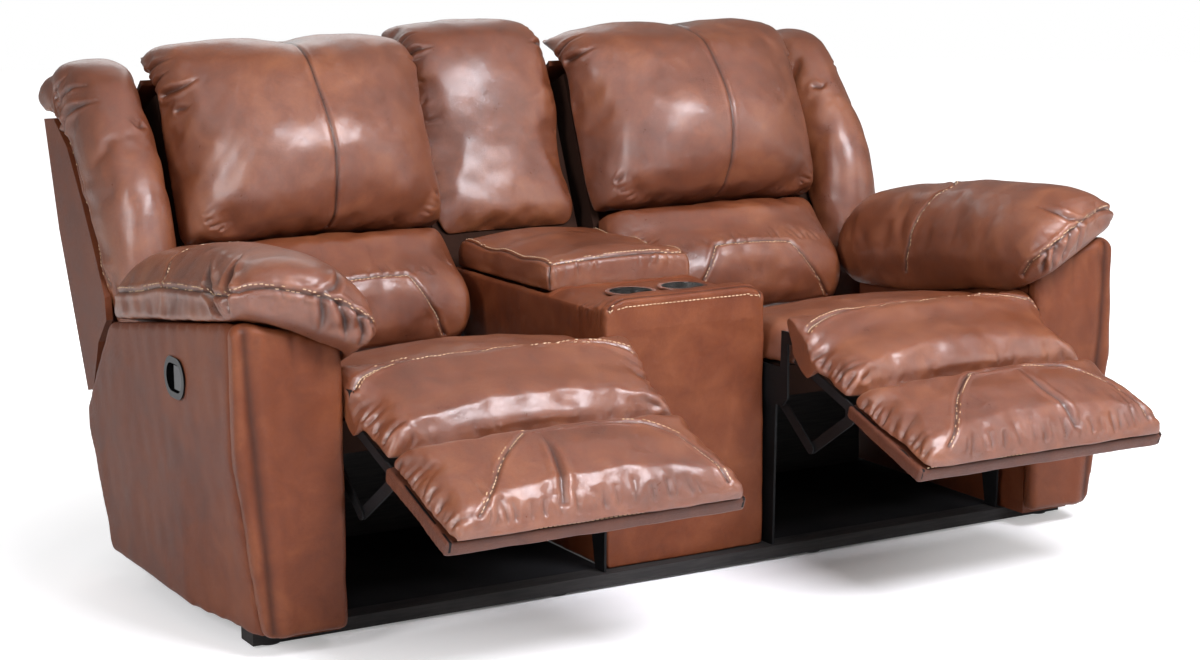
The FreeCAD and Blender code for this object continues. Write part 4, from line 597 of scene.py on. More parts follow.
def plastic(name, dark, light, rough, specular=0.5):
    n = Nodes(name)
    smear = n.noise(22.0, 3.0, 0.6)
    fine = n.noise(900.0, 2.0, 0.5)
    colour = n.ramp(smear, [(0.35, dark), (0.7, light)])
    return n.finish(Base_Color=colour, Roughness=n.between(smear, 0.3, 0.7, rough - 0.03, rough + 0.06),
                    Normal=n.bump(fine, 0.00006, 0.4), Specular_IOR_Level=specular)


def cloth(name, dark, light):
    n = Nodes(name)
    weave = n.noise(700.0, 2.0, 0.6)
    cloud = n.noise(12.0, 3.0, 0.6)
    colour = n.ramp(n.math("ADD", n.math("MULTIPLY", weave, 0.7), n.math("MULTIPLY", cloud, 0.3)),
                    [(0.35, dark), (0.65, light)])
    return n.finish(Base_Color=colour, Roughness=0.95, Normal=n.bump(weave, 0.0008, 0.8),
                    Specular_IOR_Level=0.15)


def thread(name, dark, light):
    n = Nodes(name)
    twist = n.noise(1500.0, 2.0, 0.6, n.stretched((1.0, 1.0, 0.4)))
    cloud = n.noise(30.0, 2.0, 0.5)
    colour = n.ramp(n.math("ADD", n.math("MULTIPLY", twist, 0.5), n.math("MULTIPLY", cloud, 0.5)),
                    [(0.35, dark), (0.62, light)])
    return n.finish(Base_Color=colour, Roughness=0.6, Normal=n.bump(twist, 0.0003, 0.7))


LEATHER = leather("cover_leather", (0.078, 0.018, 0.006), (0.180, 0.048, 0.016), (0.34, 0.115, 0.043),
                  gloss=0.30, shine=1.0, coat=0.16)
# painted shade: a darker copy of the cover leather, for the arm fronts and the console's box
SHADED_PANEL = leather("panel_leather", (0.076, 0.017, 0.006), (0.160, 0.041, 0.014), (0.26, 0.082, 0.031),
                gloss=0.33, shine=0.27, coat=0.0)
# painted shade: a darker copy of the cover leather, for the side panels and the arms' inner faces
SHADED_PLAIN_PANEL = leather("flat_panel_leather", (0.072, 0.016, 0.006), (0.152, 0.038, 0.013),
                      (0.24, 0.074, 0.028), gloss=0.36, wear_and_painted_shade=False, shine=0.22, coat=0.0)
# painted shade: a much darker copy of the cover leather, for the board under the footrest
SHADED_HEM = leather("hem_leather", (0.05, 0.013, 0.007), (0.105, 0.030, 0.014), (0.17, 0.055, 0.026),
              gloss=0.34, shine=0.4, coat=0.0)
THREAD = thread("cream_thread", (0.36, 0.20, 0.10), (0.78, 0.58, 0.38))
FINISHES = {
    "leather_cover": LEATHER,
    "leather_panel": SHADED_PLAIN_PANEL,
    # partly painted shade: the frame boards and base boards are near-black so that the inside of the base
    # reads dark
    "frame_board": cloth("board_cloth", (0.016, 0.007, 0.004), (0.036, 0.015, 0.009)),
    "base_wood": wood("black_shaded_board", (0.006, 0.005, 0.005), (0.020, 0.017, 0.015), 0.75),
    "spring_steel": metal("spring_wire", (0.20, 0.20, 0.21), (0.42, 0.42, 0.43), 0.36),
    # black enamel, made darker still as painted shade so that the mechanism sinks into the dark under the
    # seats
    "mechanism_steel": metal("shade_dark_enamel", (0.004, 0.004, 0.004), (0.010, 0.010, 0.011), 0.52,
                             metallic=0.0, specular=0.2),
    "handle_plastic": plastic("gloss_black_plastic", (0.003, 0.003, 0.003), (0.006, 0.006, 0.007), 0.2, 0.22),
    "paddle_plastic": plastic("black_plastic", (0.006, 0.006, 0.007), (0.013, 0.013, 0.015), 0.2),
    "cup_metal": metal("polished_steel", (0.66, 0.65, 0.64), (0.84, 0.83, 0.81), 0.12),
    "hinge_steel": metal("zinc_steel", (0.42, 0.41, 0.38), (0.60, 0.59, 0.55), 0.32),
    # painted shade: near-black cloth that stands in for the dark under the seats
    "dust_cloth": cloth("black_shade_cloth", (0.006, 0.006, 0.007), (0.02, 0.02, 0.021)),
    "glide_plastic": plastic("matt_black_plastic", (0.015, 0.015, 0.016), (0.03, 0.03, 0.03), 0.5),
}


def dress(obj, material):
    obj.data.materials.clear()
    obj.data.materials.append(material)


# the cushions and pads

bodies = {name: node["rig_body"] for name, node in nodes.items()}
BACK_REST = -BACK_AHEAD
LEG_REST = -LEG_UP
DOWN = Vector((0, 0, -1))


def joined(name, parts):
    """Copies of some CAD nodes as one mesh object."""
    obj = link(name, bpy.data.meshes.new(name))
    verts, faces = [], []
    for part in parts:
        mesh = nodes[part].data
        base = len(verts)
        verts += [tuple(v.co) for v in mesh.vertices]
        faces += [tuple(base + i for i in face.vertices) for face in mesh.polygons]
    obj.data.from_pydata(verts, [], faces)
    return obj


def formed(parts, voxel, smooth, shrink, back=None, **filling):
    """An even, softened and filled copy of CAD nodes, as a mesh with no object."""
    obj = joined("form", parts)
    exact = surface_of(obj)
    weld = obj.modifiers.new("Weld", "WELD")
    weld.merge_threshold = 1e-5
    remesh = obj.modifiers.new("Remesh", "REMESH")
    remesh.mode = "VOXEL"
    remesh.voxel_size = voxel
    applied(obj)
    points = relaxed(points_of(obj.data), edges_of(obj.data), smooth)
    for number, point in enumerate(points):
        spot, _, _, far = exact.find_nearest(point)
        if spot is not None and far < SNAP_REACH:
            points[number] += (np.array(spot) - point) * min(1.0, (SNAP_REACH - far) / (0.5 * SNAP_REACH))
    points = relaxed(points, edges_of(obj.data), 1, 0.3)
    set_points(obj.data, points)
    if shrink:
        set_points(obj.data, points_of(obj.data) - normals_of(obj.data) * shrink)
    if back is not None:
        billowed(obj, back, **filling)
    subdivided(obj)
    mesh = obj.data
    bpy.data.objects.remove(obj)
    return mesh


def flipped(mesh):
    """The left-hand twin of a right-hand mesh."""
    twin = mesh.copy()
    points = points_of(twin)
    points[:, 0] *= -1
    twin.vertices.foreach_set("co", points.ravel())
    twin.flip_normals()
    twin.update()
    return twin


def head(w):
    w.seam([(SEAT_X, 0.60, 0.985), (SEAT_X, 0.545, 1.02), (SEAT_X, 0.47, 1.02), (0.486, 0.42, 0.985),
            (0.487, 0.37, 0.94), (0.485, 0.33, 0.89), (0.482, 0.30, 0.84), (0.480, 0.288, 0.79),
            (0.479, 0.291, 0.73), (0.477, 0.313, 0.678), (0.477, 0.35, 0.64)],
           depth=0.0045, width=0.0028, shoulder=0.30)
    w.crease([(0.790, 0.505, 0.925), (0.769, 0.485, 0.935), (0.744, 0.462, 0.946), (0.705, 0.445, 0.962)],
             depth=0.009, width=0.0065, end=0.35)
    w.crease([(0.785, 0.60, 0.96), (0.765, 0.555, 0.985), (0.735, 0.50, 1.003)],
             depth=0.006, width=0.005, end=0.4)
    w.crease([(0.785, 0.56, 0.935), (0.765, 0.525, 0.962), (0.74, 0.50, 0.975)],
             depth=0.005, width=0.0045, end=0.4)
    w.crease([(0.785, 0.45, 0.90), (0.765, 0.44, 0.905), (0.735, 0.425, 0.918)],
             depth=0.004, width=0.005, end=0.3)
    w.crease([(0.183, 0.53, 0.955), (0.205, 0.50, 0.97), (0.245, 0.475, 0.985)],
             depth=0.007, width=0.006, end=0.35)
    w.crease([(0.183, 0.58, 0.965), (0.21, 0.55, 0.99), (0.24, 0.52, 1.0)],
             depth=0.005, width=0.005, end=0.35)
    for x, toward, seed in ((0.772, -1, 5), (0.192, 1, 6)):
        corner = w.path([(x, 0.335, 0.715), (x + 0.02 * toward, 0.335, 0.672),
                         (x + 0.07 * toward, 0.345, 0.655)])
        w.gathers(corner, seed, (0.9 * toward, -0.3, 0.5), depth=0.004, pitch=0.017, reach=0.04, width=0.005)
    w.swell((0.305, 0.31, 0.735), 0.035, 0.004)
    w.swell((0.665, 0.31, 0.735), 0.035, 0.003)
    w.swell((SEAT_X, 0.54, 1.035), 0.07, -0.006)
    foot = w.path([(0.23, 0.345, 0.650), (SEAT_X, 0.345, 0.645), (0.73, 0.345, 0.650)])
    w.gathers(foot, 7, (0, -0.3, 1), depth=0.0018, pitch=0.05, reach=0.03, width=0.006)


def lumbar(w):
    top = [(0.293, 0.185, 0.43), (0.322, 0.165, 0.485), (0.352, 0.175, 0.535), (0.372, 0.193, 0.5625),
           (SEAT_X, 0.189, 0.5640), (0.566, 0.188, 0.5600), (0.611, 0.168, 0.505), (0.651, 0.172, 0.455),
           (0.675, 0.185, 0.42)]
    w.seam(top, corners=(3, 5), stitches=(-0.0058,), depth=0.0035)
    fold = w.path([(0.30, 0.185, 0.572), (SEAT_X, 0.185, 0.572), (0.68, 0.185, 0.572)], away=BACK_AHEAD)
    w.gathers(fold, 11, (0, 0.2, 1), depth=0.0028, pitch=0.032, reach=0.055, width=0.008)
    for x, toward, seed in ((0.765, -1, 12), (0.198, 1, 13)):
        corner = w.path([(x, 0.28, 0.625), (x, 0.24, 0.60)])
        w.gathers(corner, seed, (toward, 0, -0.25), depth=0.003, pitch=0.014, reach=0.045, width=0.005)


def eased(values, low, high):
    """0 below low, 1 above high, smooth between."""
    share = np.clip((values - low) / (high - low), 0, 1)
    return share * share * (3 - 2 * share)


def seat(w):
    def tucked(points):
        """The rear runs down under the back cushion and the sides rise to the arms."""
        x, y, z = points[:, 0], points[:, 1], points[:, 2]
        rear = eased(y, 0.03, 0.14)
        edge = np.clip(np.abs(np.abs(x) - SEAT_X) / SEAT_HALF, 0, 1) ** 4
        points[:, 2] += 0.022 * edge * eased(z, 0.43, 0.48) * (1 - rear)
        points[:, 1] += SEAT_TUCK * rear
        points[:, 2] -= rear * (points[:, 2] - 0.378 - (points[:, 2] - 0.404) * 0.35)
        return points
    w.moved(tucked)
    w.seam([(0.20, -0.338, 0.49), (SEAT_X, -0.325, 0.51), (0.765, -0.338, 0.49)], depth=0.002)


def calf(w):
    def raised(points):
        """The rear lip swells up and back to the seat."""
        rear = eased(points[:, 1], -0.47, -0.39)
        points[:, 2] += 0.009 * rear * eased(points[:, 2], 0.44, 0.49)
        points[:, 1] += 0.010 * rear
        x = np.abs(points[:, 0])
        inward = np.clip((SEAT_X - x) / PAD_HALF, 0, 1) ** 3 * 0.046
        outward = np.clip((x - SEAT_X) / PAD_HALF, 0, 1) ** 3 * 0.037
        points[:, 0] -= np.sign(points[:, 0]) * (inward - outward) * eased(points[:, 1], -0.50, -0.42)
        corner = 1 - eased(np.abs(points[:, 1] + 0.405), 0.03, 0.065)
        corner *= eased(np.abs(x - SEAT_X), 0.225, 0.275)
        height = points[:, 2].copy()
        points[:, 2] += 0.016 * corner * eased(height, 0.43, 0.465)
        points[:, 2] -= 0.028 * corner * (1 - eased(height, 0.425, 0.455))
        return points
    w.moved(raised)
    arc = [(0.196, -0.424, 0.485), (0.25, -0.402, 0.50), (0.35, -0.388, 0.51), (SEAT_X, -0.382, 0.512),
           (0.61, -0.388, 0.51), (0.71, -0.402, 0.50), (0.766, -0.424, 0.485)]
    w.seam(arc, away=Vector((0, 0, 1)), stitches=(0.0060, -0.0060), depth=0.004, width=0.0034)
    for x, toward, seed in ((0.771, -1, 21), (0.193, 1, 22)):
        edge = w.path([(x, -0.40, 0.45), (x, -0.47, 0.43), (x, -0.56, 0.40)])
        w.gathers(edge, seed, (toward, 0, 0.45), depth=0.0052, pitch=0.019, reach=0.065,
                  width=0.0060, slant=0.25)
    front = w.path([(0.21, -0.578, 0.40), (SEAT_X, -0.58, 0.405), (0.755, -0.578, 0.40)])
    w.gathers(front, 23, (0, 0.4, 1), depth=0.0016, pitch=0.06, reach=0.035, width=0.007)


def footrest(w):
    line = [(0.233, -0.812, 0.325), (0.247, -0.77, 0.357), (0.262, -0.72, 0.383), (0.285, -0.680, 0.402),
            (0.318, -0.656, 0.415), (0.44, -0.650, 0.423), (0.548, -0.650, 0.423), (0.585, -0.678, 0.408),
            (0.630, -0.720, 0.387), (0.672, -0.770, 0.360), (0.715, -0.812, 0.330)]
    line = [(2 * SEAT_X - x, y, z) for x, y, z in reversed(line)] if w.side > 0 else line
    w.seam(line, corners=(4, 6), stitches=(-0.0058,) if w.side > 0 else (0.0058,), depth=0.0035)
    front = w.path([(0.265, -0.815, 0.315), (SEAT_X, -0.817, 0.315), (0.70, -0.815, 0.315)])
    w.gathers(front, 31, (0, 1, 0.55), depth=0.0030, pitch=0.027, reach=0.105, width=0.0052, slant=0.2)
    w.crease([(0.525, -0.655, 0.42), (0.53, -0.72, 0.39), (0.545, -0.778, 0.365), (0.555, -0.815, 0.335)],
             depth=0.006, width=0.006, start=0.4)
    for x, toward, seed in ((0.771, -1, 32), (0.193, 1, 33)):
        edge = w.path([(x, -0.60, 0.37), (x, -0.70, 0.345), (x, -0.80, 0.315)])
        w.gathers(edge, seed, (toward, -0.1, 0.5), depth=0.0045, pitch=0.022, reach=0.05, width=0.0055)


def arm(w):
    def lowered(points):
        """The inner foot reaches down to the seat."""
        x, y, z = np.abs(points[:, 0]), points[:, 1], points[:, 2]
        inner = (1 - eased(x, 0.74, 0.80)) * (1 - eased(z, 0.47, 0.56)) * eased(y, -0.42, -0.34)
        points[:, 2] -= ARM_FOOT * inner * (1 - eased(y, 0.20, 0.28))
        return points
    w.moved(lowered)
    w.seam([(0.975, 0.27, 0.575), (0.983, 0.117, 0.600), (0.979, -0.003, 0.626), (0.982, -0.137, 0.640),
            (0.983, -0.258, 0.651), (0.987, -0.345, 0.656), (0.977, -0.405, 0.668), (0.959, -0.420, 0.674),
            (0.920, -0.436, 0.672), (0.877, -0.449, 0.664), (0.838, -0.460, 0.654), (0.805, -0.470, 0.640),
            (0.775, -0.474, 0.622), (0.748, -0.462, 0.600), (0.734, -0.440, 0.578), (0.742, -0.405, 0.545)],
           depth=0.0045, width=0.0034, shoulder=0.6, stitches=(-0.0062,))
    w.seam([(0.976, -0.011, 0.630), (0.959, 0.008, 0.646), (0.928, 0.040, 0.664), (0.885, 0.015, 0.685),
            (0.845, -0.045, 0.695), (0.810, -0.085, 0.691), (0.782, -0.060, 0.672), (0.748, -0.050, 0.641),
            (0.724, -0.044, 0.600), (0.714, -0.040, 0.558), (0.730, -0.023, 0.505)],
           depth=0.0028, stitches=(0.0058,))
    w.crease([(0.930, -0.170, 0.690), (0.955, -0.210, 0.678), (0.974, -0.255, 0.664), (0.985, -0.300, 0.650),
              (0.987, -0.343, 0.625), (0.980, -0.366, 0.610)], depth=0.014, width=0.0075, start=0.45, end=0.8)
    w.crease([(0.905, -0.270, 0.706), (0.935, -0.312, 0.696), (0.963, -0.346, 0.682), (0.986, -0.378, 0.664),
              (0.987, -0.381, 0.645), (0.981, -0.384, 0.618)], depth=0.015, width=0.0080, start=0.4, end=0.85)
    w.swell((0.985, -0.335, 0.655), 0.030, 0.007)
    w.crease([(0.781, -0.385, 0.690), (0.797, -0.442, 0.681), (0.822, -0.466, 0.667), (0.880, -0.455, 0.652)],
             depth=0.006, width=0.006, start=0.4, end=0.6)
    w.crease([(0.812, -0.474, 0.640), (0.800, -0.475, 0.605), (0.802, -0.468, 0.560)],
             depth=0.008, width=0.006, end=0.5)
    w.crease([(0.775, -0.482, 0.615), (0.768, -0.478, 0.585), (0.775, -0.462, 0.550)],
             depth=0.008, width=0.006, end=0.5)
    w.crease([(0.840, -0.462, 0.650), (0.838, -0.462, 0.615), (0.845, -0.450, 0.580)],
             depth=0.006, width=0.006, end=0.5)
    w.crease([(0.752, -0.470, 0.600), (0.748, -0.462, 0.570), (0.758, -0.445, 0.540)],
             depth=0.007, width=0.005, end=0.5)
    curl = w.path([(0.93, -0.435, 0.66), (0.86, -0.458, 0.645), (0.79, -0.475, 0.625)])
    w.gathers(curl, 41, (-0.1, 0.55, 1), depth=0.0020, pitch=0.034, reach=0.05, width=0.006, slant=0.4)
    foot = w.path([(0.975, 0.20, 0.585), (0.985, -0.10, 0.625), (0.987, -0.25, 0.64)])
    w.gathers(foot, 42, (0, 0.35, -1), depth=0.0012, pitch=0.07, reach=0.05, width=0.010)


def wing(w):
    def longer(points):
        """Its foot runs down behind the arm."""
        low = 1 - eased(points[:, 2], 0.49, 0.61)
        points[:, 2] -= WING_FOOT * low
        over = np.maximum(np.abs(points[:, 0]) - 0.895, 0) * low
        points[:, 0] -= np.sign(points[:, 0]) * over
        return points
    w.moved(longer)
    w.seam([(0.915, 0.80, 0.895), (0.935, 0.735, 0.875), (0.945, 0.655, 0.860), (0.946, 0.600, 0.838),
            (0.945, 0.553, 0.803), (0.945, 0.515, 0.761), (0.945, 0.497, 0.717), (0.944, 0.468, 0.668),
            (0.946, 0.424, 0.612), (0.946, 0.39, 0.56)], depth=0.004, stitches=(0.0058,))
    w.crease([(0.946, 0.640, 0.868), (0.941, 0.668, 0.904), (0.935, 0.680, 0.928), (0.915, 0.615, 0.965)],
             depth=0.009, width=0.0055, end=0.4)
    w.crease([(0.947, 0.625, 0.870), (0.941, 0.645, 0.905), (0.928, 0.595, 0.940), (0.91, 0.54, 0.952)],
             depth=0.009, width=0.0055, end=0.4)
    w.crease([(0.947, 0.612, 0.862), (0.943, 0.590, 0.895), (0.925, 0.535, 0.915), (0.90, 0.505, 0.922)],
             depth=0.010, width=0.0060, end=0.4)
    w.crease([(0.945, 0.70, 0.868), (0.938, 0.715, 0.89), (0.925, 0.72, 0.905)],
             depth=0.006, width=0.0055, end=0.3)
    w.crease([(0.800, 0.445, 0.90), (0.825, 0.44, 0.895), (0.85, 0.45, 0.90)],
             depth=0.004, width=0.006, end=0.3)
    foot = w.path([(0.94, 0.40, 0.55), (0.90, 0.36, 0.52), (0.83, 0.35, 0.52)])
    w.gathers(foot, 51, (0, -0.1, 1), depth=0.003, pitch=0.03, reach=0.08, width=0.008)


def front_panel(w):
    w.crease([(0.962, -0.413, 0.60), (0.955, -0.414, 0.45), (0.935, -0.413, 0.20), (0.925, -0.412, 0.05)],
             depth=0.005, width=0.012, shoulder=0.4, away=Vector((0, -1, 0)))
    w.swell((0.88, -0.411, 0.45), 0.09, 0.006)
    top = w.path([(0.80, -0.408, 0.58), (0.88, -0.408, 0.59), (0.96, -0.408, 0.58)])
    w.gathers(top, 61, (0, 0, -1), depth=0.0018, pitch=0.04, reach=0.12, width=0.010, slant=0.15)


def side_panel(w):
    w.crease([(0.982, -0.352, 0.60), (0.982, -0.350, 0.40), (0.982, -0.345, 0.20), (0.982, -0.33, 0.05)],
             depth=0.003, width=0.010, shoulder=0.5, away=Vector((1, 0, 0)))


# node, its work, voxel, smoothing rounds, shrink, rear side, sim values, fill, reach across
SOFT = [
    ("head_cushion", head, 0.0075, 5, 0.005, BACK_REST, dict(cap=0.013), 0.75, (0.1815, 0.7785)),
    ("lumbar_cushion", lumbar, 0.0075, 5, 0.004, BACK_REST, dict(cap=0.010), 0.6, (0.1875, 0.7750)),
    ("seat_cushion", seat, 0.0090, 5, 0.003, None, {}, 0.7, (0.185, 0.778)),
    ("calf_pad", calf, 0.0070, 4, 0.005, LEG_REST, dict(cap=0.011), 0.7, (0.186, 0.777)),
    ("footrest_pad", footrest, 0.0070, 4, 0.005, LEG_REST, dict(cap=0.011), 0.7, (0.186, 0.777)),
    ("arm_pad", arm, 0.0080, 5, 0.004, DOWN, dict(cap=0.010), 0.75, (0.7105, 0.999)),
    ("wing_bolster", wing, 0.0075, 5, 0.003, BACK_REST, dict(cap=0.009), 0.7, (0.7805, 0.955)),
    ("arm_front", front_panel, 0.0070, 7, 0.0, None, {}, 0.4, (0.776, 0.984)),
    ("side_panel", side_panel, 0.0080, 4, 0.0, None, {}, 0.3, (0.905, 0.983)),
]
for kind, work, voxel, smooth, shrink, back, filling, fill, limits in SOFT:
    form = formed(["right_" + kind], voxel, smooth, shrink, back, **filling)
    panel = kind in ("arm_front", "side_panel")
    for side, sign in (("right", 1), ("left", -1)):
        piece = Leather(f"{side}_{kind}_leather", form.copy() if sign > 0 else flipped(form), sign)
        work(piece)
        span = limits if sign > 0 else (-limits[1], -limits[0])
        piece.pressed(len(kind) * 10 + sign, uneven=0.0008 if panel else 0.0016, limits=span)
        cover = {"arm_front": SHADED_PANEL, "side_panel": SHADED_PLAIN_PANEL}.get(kind, LEATHER)
        piece.stand_for([f"{side}_{kind}"], cover,
                        "leather_panel" if panel else "leather_cover")
    bpy.data.meshes.remove(form)

for side, sign in (("right", 1), ("left", -1)):
    node = f"{side}_footrest_board"
    piece = Leather(node + "_leather", formed([node], 0.005, 3, 0.0), sign)

    def wrapped(points):
        """Over the side rails, and padded below."""
        points[:, 0] = sign * (SEAT_X + (np.abs(points[:, 0]) - SEAT_X) * 1.034)
        rearward = np.array([0, math.cos(LEG_SLOPE), math.sin(LEG_SLOPE)])
        rear = eased(points[:, 1], -0.65, -0.61)[:, None] * rearward
        points += BOARD_FLAP * rear
        below = (normals_of(piece.obj.data) @ np.array(LEG_UP) < -0.2)[:, None]
        return points - below * np.array(LEG_UP) * BOARD_PADDING
    piece.moved(wrapped)
    piece.seam([(0.205, -0.800, 0.292), (SEAT_X, -0.802, 0.292), (0.758, -0.800, 0.292)],
               depth=0.001, shoulder=0.3)
    row = piece.path([(0.205, -0.803, 0.300), (SEAT_X, -0.805, 0.300), (0.758, -0.803, 0.300)])
    piece.rows.append((row, 0))
    piece.pressed(70 + sign, uneven=0.0006)
    piece.stand_for([node], SHADED_HEM, nodes[node].material_slots[0].material.name.split(".")[0])

# the console: back pad, lid and the top that rolls over its front
form = formed(["console_back_pad"], 0.0075, 5, 0.004, BACK_REST, cap=0.010)
piece = Leather("console_back_pad_leather", form)
for sign, seed in ((-1, 81), (1, 82)):
    piece.crease([(0.182 * sign, 0.60, 0.985), (0.16 * sign, 0.575, 1.005), (0.12 * sign, 0.555, 1.02)],
                 depth=0.007, width=0.006, end=0.35)
    piece.crease([(0.182 * sign, 0.655, 0.985), (0.165 * sign, 0.64, 1.015), (0.13 * sign, 0.62, 1.03)],
                 depth=0.005, width=0.005, end=0.35)
    edge = piece.path([(0.178 * sign, 0.56, 0.95), (0.178 * sign, 0.50, 0.80), (0.178 * sign, 0.45, 0.66)])
    piece.gathers(edge, seed, (-sign, 0, 0.2), depth=0.0026, pitch=0.05, reach=0.04, width=0.006)
piece.pressed(83, limits=(-0.1785, 0.1785))
piece.stand_for(["console_back_pad"], LEATHER, "leather_cover")

lid = Leather("console_lid_leather", formed(["console_lid_pad", "console_lid_board"], 0.0055, 3, 0.001))
rim = [(-0.166, 0.365, 0.607), (-0.167, 0.16, 0.607), (-0.163, -0.031, 0.607), (0.0, -0.036, 0.607),
       (0.163, -0.031, 0.607), (0.167, 0.16, 0.607), (0.166, 0.365, 0.607)]
lid.seam(rim, corners=(2, 4), depth=0.003, width=0.0028, shoulder=0.3, stitches=(0.0075,))
for sign in (-1, 1):
    lid.seam([(0.170 * sign, -0.038, 0.600), (0.171 * sign, -0.039, 0.575), (0.169 * sign, -0.038, 0.548)],
             depth=0.0025, width=0.0026, shoulder=0.3)
    edge = lid.path([(0.168 * sign, -0.039, 0.60), (0.10 * sign, -0.041, 0.60), (0.04 * sign, -0.041, 0.60)])
    lid.gathers(edge, 91 + sign, (0, 0, -1), depth=0.0030, pitch=0.022, reach=0.035, width=0.006, slant=0.6)
lid.swell((0, 0.16, 0.618), 0.15, 0.006)
lid.swell((0, -0.04, 0.575), 0.07, 0.003)
lid.pressed(93, uneven=0.0012)
lid.stand_for(["console_lid_pad", "console_lid_board"], LEATHER, "leather_cover")

top_nodes = ["console_deck", "console_front_panel", "console_box"]
top = Leather("console_top_leather", formed(top_nodes, 0.0062, 4, 0.0))
for sign in (-1, 1):
    edge = top.path([(0.182 * sign, -0.285, 0.535), (0.183 * sign, -0.24, 0.537),
                     (0.183 * sign, -0.18, 0.537)])
    top.gathers(edge, 95 + sign, (-sign, 0, 0.6), depth=0.0030, pitch=0.013, reach=0.03, width=0.0045)
    top.gathers(edge, 97 + sign, (0, 0.2, -1), depth=0.0026, pitch=0.016, reach=0.04, width=0.005)
top.seam([(-0.172, -0.292, 0.535), (-0.160, -0.288, 0.549), (0.0, -0.288, 0.551), (0.160, -0.288, 0.549),
          (0.172, -0.292, 0.535)], depth=0.003, width=0.0030, stitches=(-0.0065,))
top.pressed(97, uneven=0.0010)


def rolled(points):
    """The front edge raised to a roll, the front full below it, the leather low around the cups."""
    high = np.clip((points[:, 2] - 0.50) / 0.05, 0, 1)
    ahead = np.clip((-0.222 - points[:, 1]) / 0.03, 0, 1)
    inside = np.clip((0.183 - np.abs(points[:, 0])) / 0.03, 0, 1)
    points[:, 2] += 0.011 * high * ahead ** 2 * (3 - 2 * ahead) * (0.45 + 0.55 * inside)
    below_roll = np.clip(1 - np.abs(points[:, 2] - 0.50) / 0.06, 0, 1)
    points[:, 1] -= 0.004 * below_roll * inside * (points[:, 1] < -0.285)
    cups = (points[:, 2] > 0.54) * eased(points[:, 1], -0.245, -0.232) * (points[:, 1] < -0.06)
    points[:, 2] -= 0.0032 * cups
    return points


top.moved(rolled)
top.stand_for(top_nodes, SHADED_PANEL, "leather_panel")

# the dark cloth stretched under the seats, a near-black sheet that stands in as painted shade there
COLUMNS, ROWS = 60, 46
CLOTH_HEIGHT, SAG = 0.0305, 0.004   # at its rim, and how much lower its middle hangs
for side, sign in (("right", 1), ("left", -1)):
    across = np.linspace(0.1835, 0.782, COLUMNS)
    along = np.linspace(-0.272, 0.192, ROWS)
    grid = [(x * sign, y, CLOTH_HEIGHT - SAG * math.sin(math.pi * i / (COLUMNS - 1))
             * math.sin(math.pi * j / (ROWS - 1)))
            for j, y in enumerate(along) for i, x in enumerate(across)]
    quads = [(a, a + 1, a + 1 + COLUMNS, a + COLUMNS)
             for j in range(ROWS - 1) for a in range(j * COLUMNS, (j + 1) * COLUMNS - 1)]
    mesh = bpy.data.meshes.new(f"{side}_dust_cloth")
    mesh.from_pydata(grid, [], quads if sign > 0 else [q[::-1] for q in quads])
    mesh.shade_smooth()
    cloth_piece = link(f"{side}_dust_cloth", mesh)
    dress(cloth_piece, FINISHES["dust_cloth"])
    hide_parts("dust_covers")
    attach(cloth_piece, bodies["dust_covers"])

for name, node in nodes.items():
    if node.hide_render:
        continue
    for spot in node.material_slots:
        # the arms' inner faces get the darker panel copy, painted shade between arm and seat
        inner_arm = name.endswith("arm_frame")
        spot.material = SHADED_PLAIN_PANEL if inner_arm else FINISHES[spot.material.name.split(".")[0]]


# floor, light and camera

FLOOR_RADIUS, FLOOR_CORNERS = 14, 96
WORLD_LEVEL = 0.23                  # what the world gives to all but the camera, where white is 1


def backdrop_material():
    """White to the camera away from the object; near and under it the glow is cut back as a painted shadow
    over the shadow it casts; weaker in reflections.
    """
    n = Nodes("pale_floor")
    tree = n.tree
    fine = n.noise(3.0, 2.0, 0.5)
    n.finish(Base_Color=n.ramp(fine, [(0.3, (0.80, 0.80, 0.80)), (0.7, (0.82, 0.82, 0.82))]), Roughness=0.9,
             Specular_IOR_Level=0.0)
    rays = tree.nodes.new("ShaderNodeLightPath").outputs
    seen = n.math("MAXIMUM", n.math("MAXIMUM", rays["Is Camera Ray"], rays["Is Transmission Ray"]),
                  n.math("MULTIPLY", rays["Is Glossy Ray"], 0.35))
    n.shader.inputs["Emission Color"].default_value = (1, 1, 1, 1)
    apart = tree.nodes.new("ShaderNodeVectorMath")
    apart.operation = "LENGTH"
    n.wire(n.stretched((1.0, 1.35, 1.0)), apart.inputs[0])
    # painted shadow: the glow drops near and under the object, whatever the lamps do
    under = n.between(apart.outputs["Value"], 0.55, 1.15, 0.05, 0.52)
    glow_with_painted_shadow = n.math("ADD", under, n.between(apart.outputs["Value"], 1.25, 2.4, 0.0, 0.48))
    n.wire(n.math("MULTIPLY", seen, glow_with_painted_shadow), n.shader.inputs["Emission Strength"])
    return n.material


floor_mesh = bpy.data.meshes.new("floor")
ring = [(FLOOR_RADIUS * math.cos(a), FLOOR_RADIUS * math.sin(a), 0)
        for a in np.linspace(0, 2 * math.pi, FLOOR_CORNERS, endpoint=False)]
floor_mesh.from_pydata(ring, [], [tuple(range(FLOOR_CORNERS))])
floor = link("floor", floor_mesh)
dress(floor, backdrop_material())

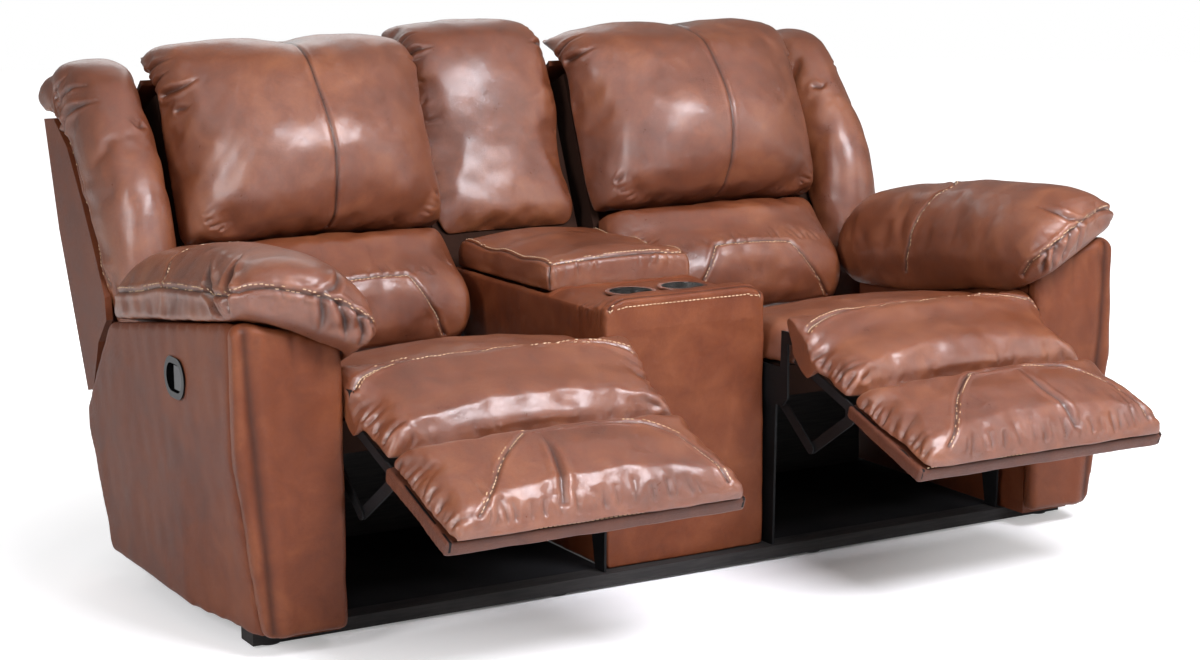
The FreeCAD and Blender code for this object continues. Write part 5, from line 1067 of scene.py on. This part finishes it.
world = bpy.data.worlds.new("studio")
scene.world = world
world.use_nodes = True
sky = world.node_tree
rays = sky.nodes.new("ShaderNodeLightPath").outputs
seen = sky.nodes.new("ShaderNodeMath")
seen.operation = "MAXIMUM"
sky.links.new(rays["Is Camera Ray"], seen.inputs[0])
sky.links.new(rays["Is Transmission Ray"], seen.inputs[1])
level = sky.nodes.new("ShaderNodeMapRange")
sky.links.new(seen.outputs[0], level.inputs["Value"])
level.inputs["To Min"].default_value = WORLD_LEVEL
level.inputs["To Max"].default_value = 1.0
ground = sky.nodes["Background"]
ground.inputs["Color"].default_value = (1, 1, 1, 1)
sky.links.new(level.outputs["Result"], ground.inputs["Strength"])


def softbox(name, place, aim, width, height, power, colour=(1, 1, 1)):
    """A rectangular lamp at `place` that faces `aim`."""
    light = bpy.data.lights.new(name, "AREA")
    light.shape = "RECTANGLE"
    light.size = width
    light.size_y = height
    light.energy = power
    light.color = colour
    lamp = bpy.data.objects.new(name, light)
    scene.collection.objects.link(lamp)
    lamp.location = place
    lamp.rotation_euler = (Vector(aim) - Vector(place)).to_track_quat("-Z", "Y").to_euler()


softbox("key_softbox", (0.55, -2.7, 3.1), (0.0, 0.0, 0.6), 2.1, 1.35, 235, (0.94, 0.93, 1.0))
softbox("left_softbox", (-3.7, -1.6, 1.9), (-0.7, 0.0, 0.6), 1.0, 1.6, 75, (0.97, 0.96, 1.0))
softbox("fill_softbox", (3.2, -3.4, 1.6), (0.3, 0.0, 0.5), 1.4, 1.8, 22)
softbox("rear_softbox", (0.5, 3.6, 2.4), (0.0, 0.3, 0.6), 2.6, 1.6, 26)

# the camera that was fitted to the photograph
YAW, PITCH, ROLL = math.radians(29.54), math.radians(-10.45), math.radians(-0.449)
look = Vector((math.sin(YAW) * math.cos(PITCH), math.cos(YAW) * math.cos(PITCH), math.sin(PITCH)))
level_right = Vector((math.cos(YAW), -math.sin(YAW), 0))
upright = level_right.cross(look)
right = level_right * math.cos(ROLL) + upright * math.sin(ROLL)
up = upright * math.cos(ROLL) - level_right * math.sin(ROLL)
camera = bpy.data.objects.new("camera", bpy.data.cameras.new("camera"))
scene.collection.objects.link(camera)
turn = Matrix((right, up, -look)).transposed()
camera.matrix_world = Matrix.Translation((-2.431, -4.239, 1.344)) @ turn.to_4x4()
camera.data.sensor_width = 36
camera.data.lens = 72.26
scene.camera = camera
scene.view_settings.view_transform = "Standard"
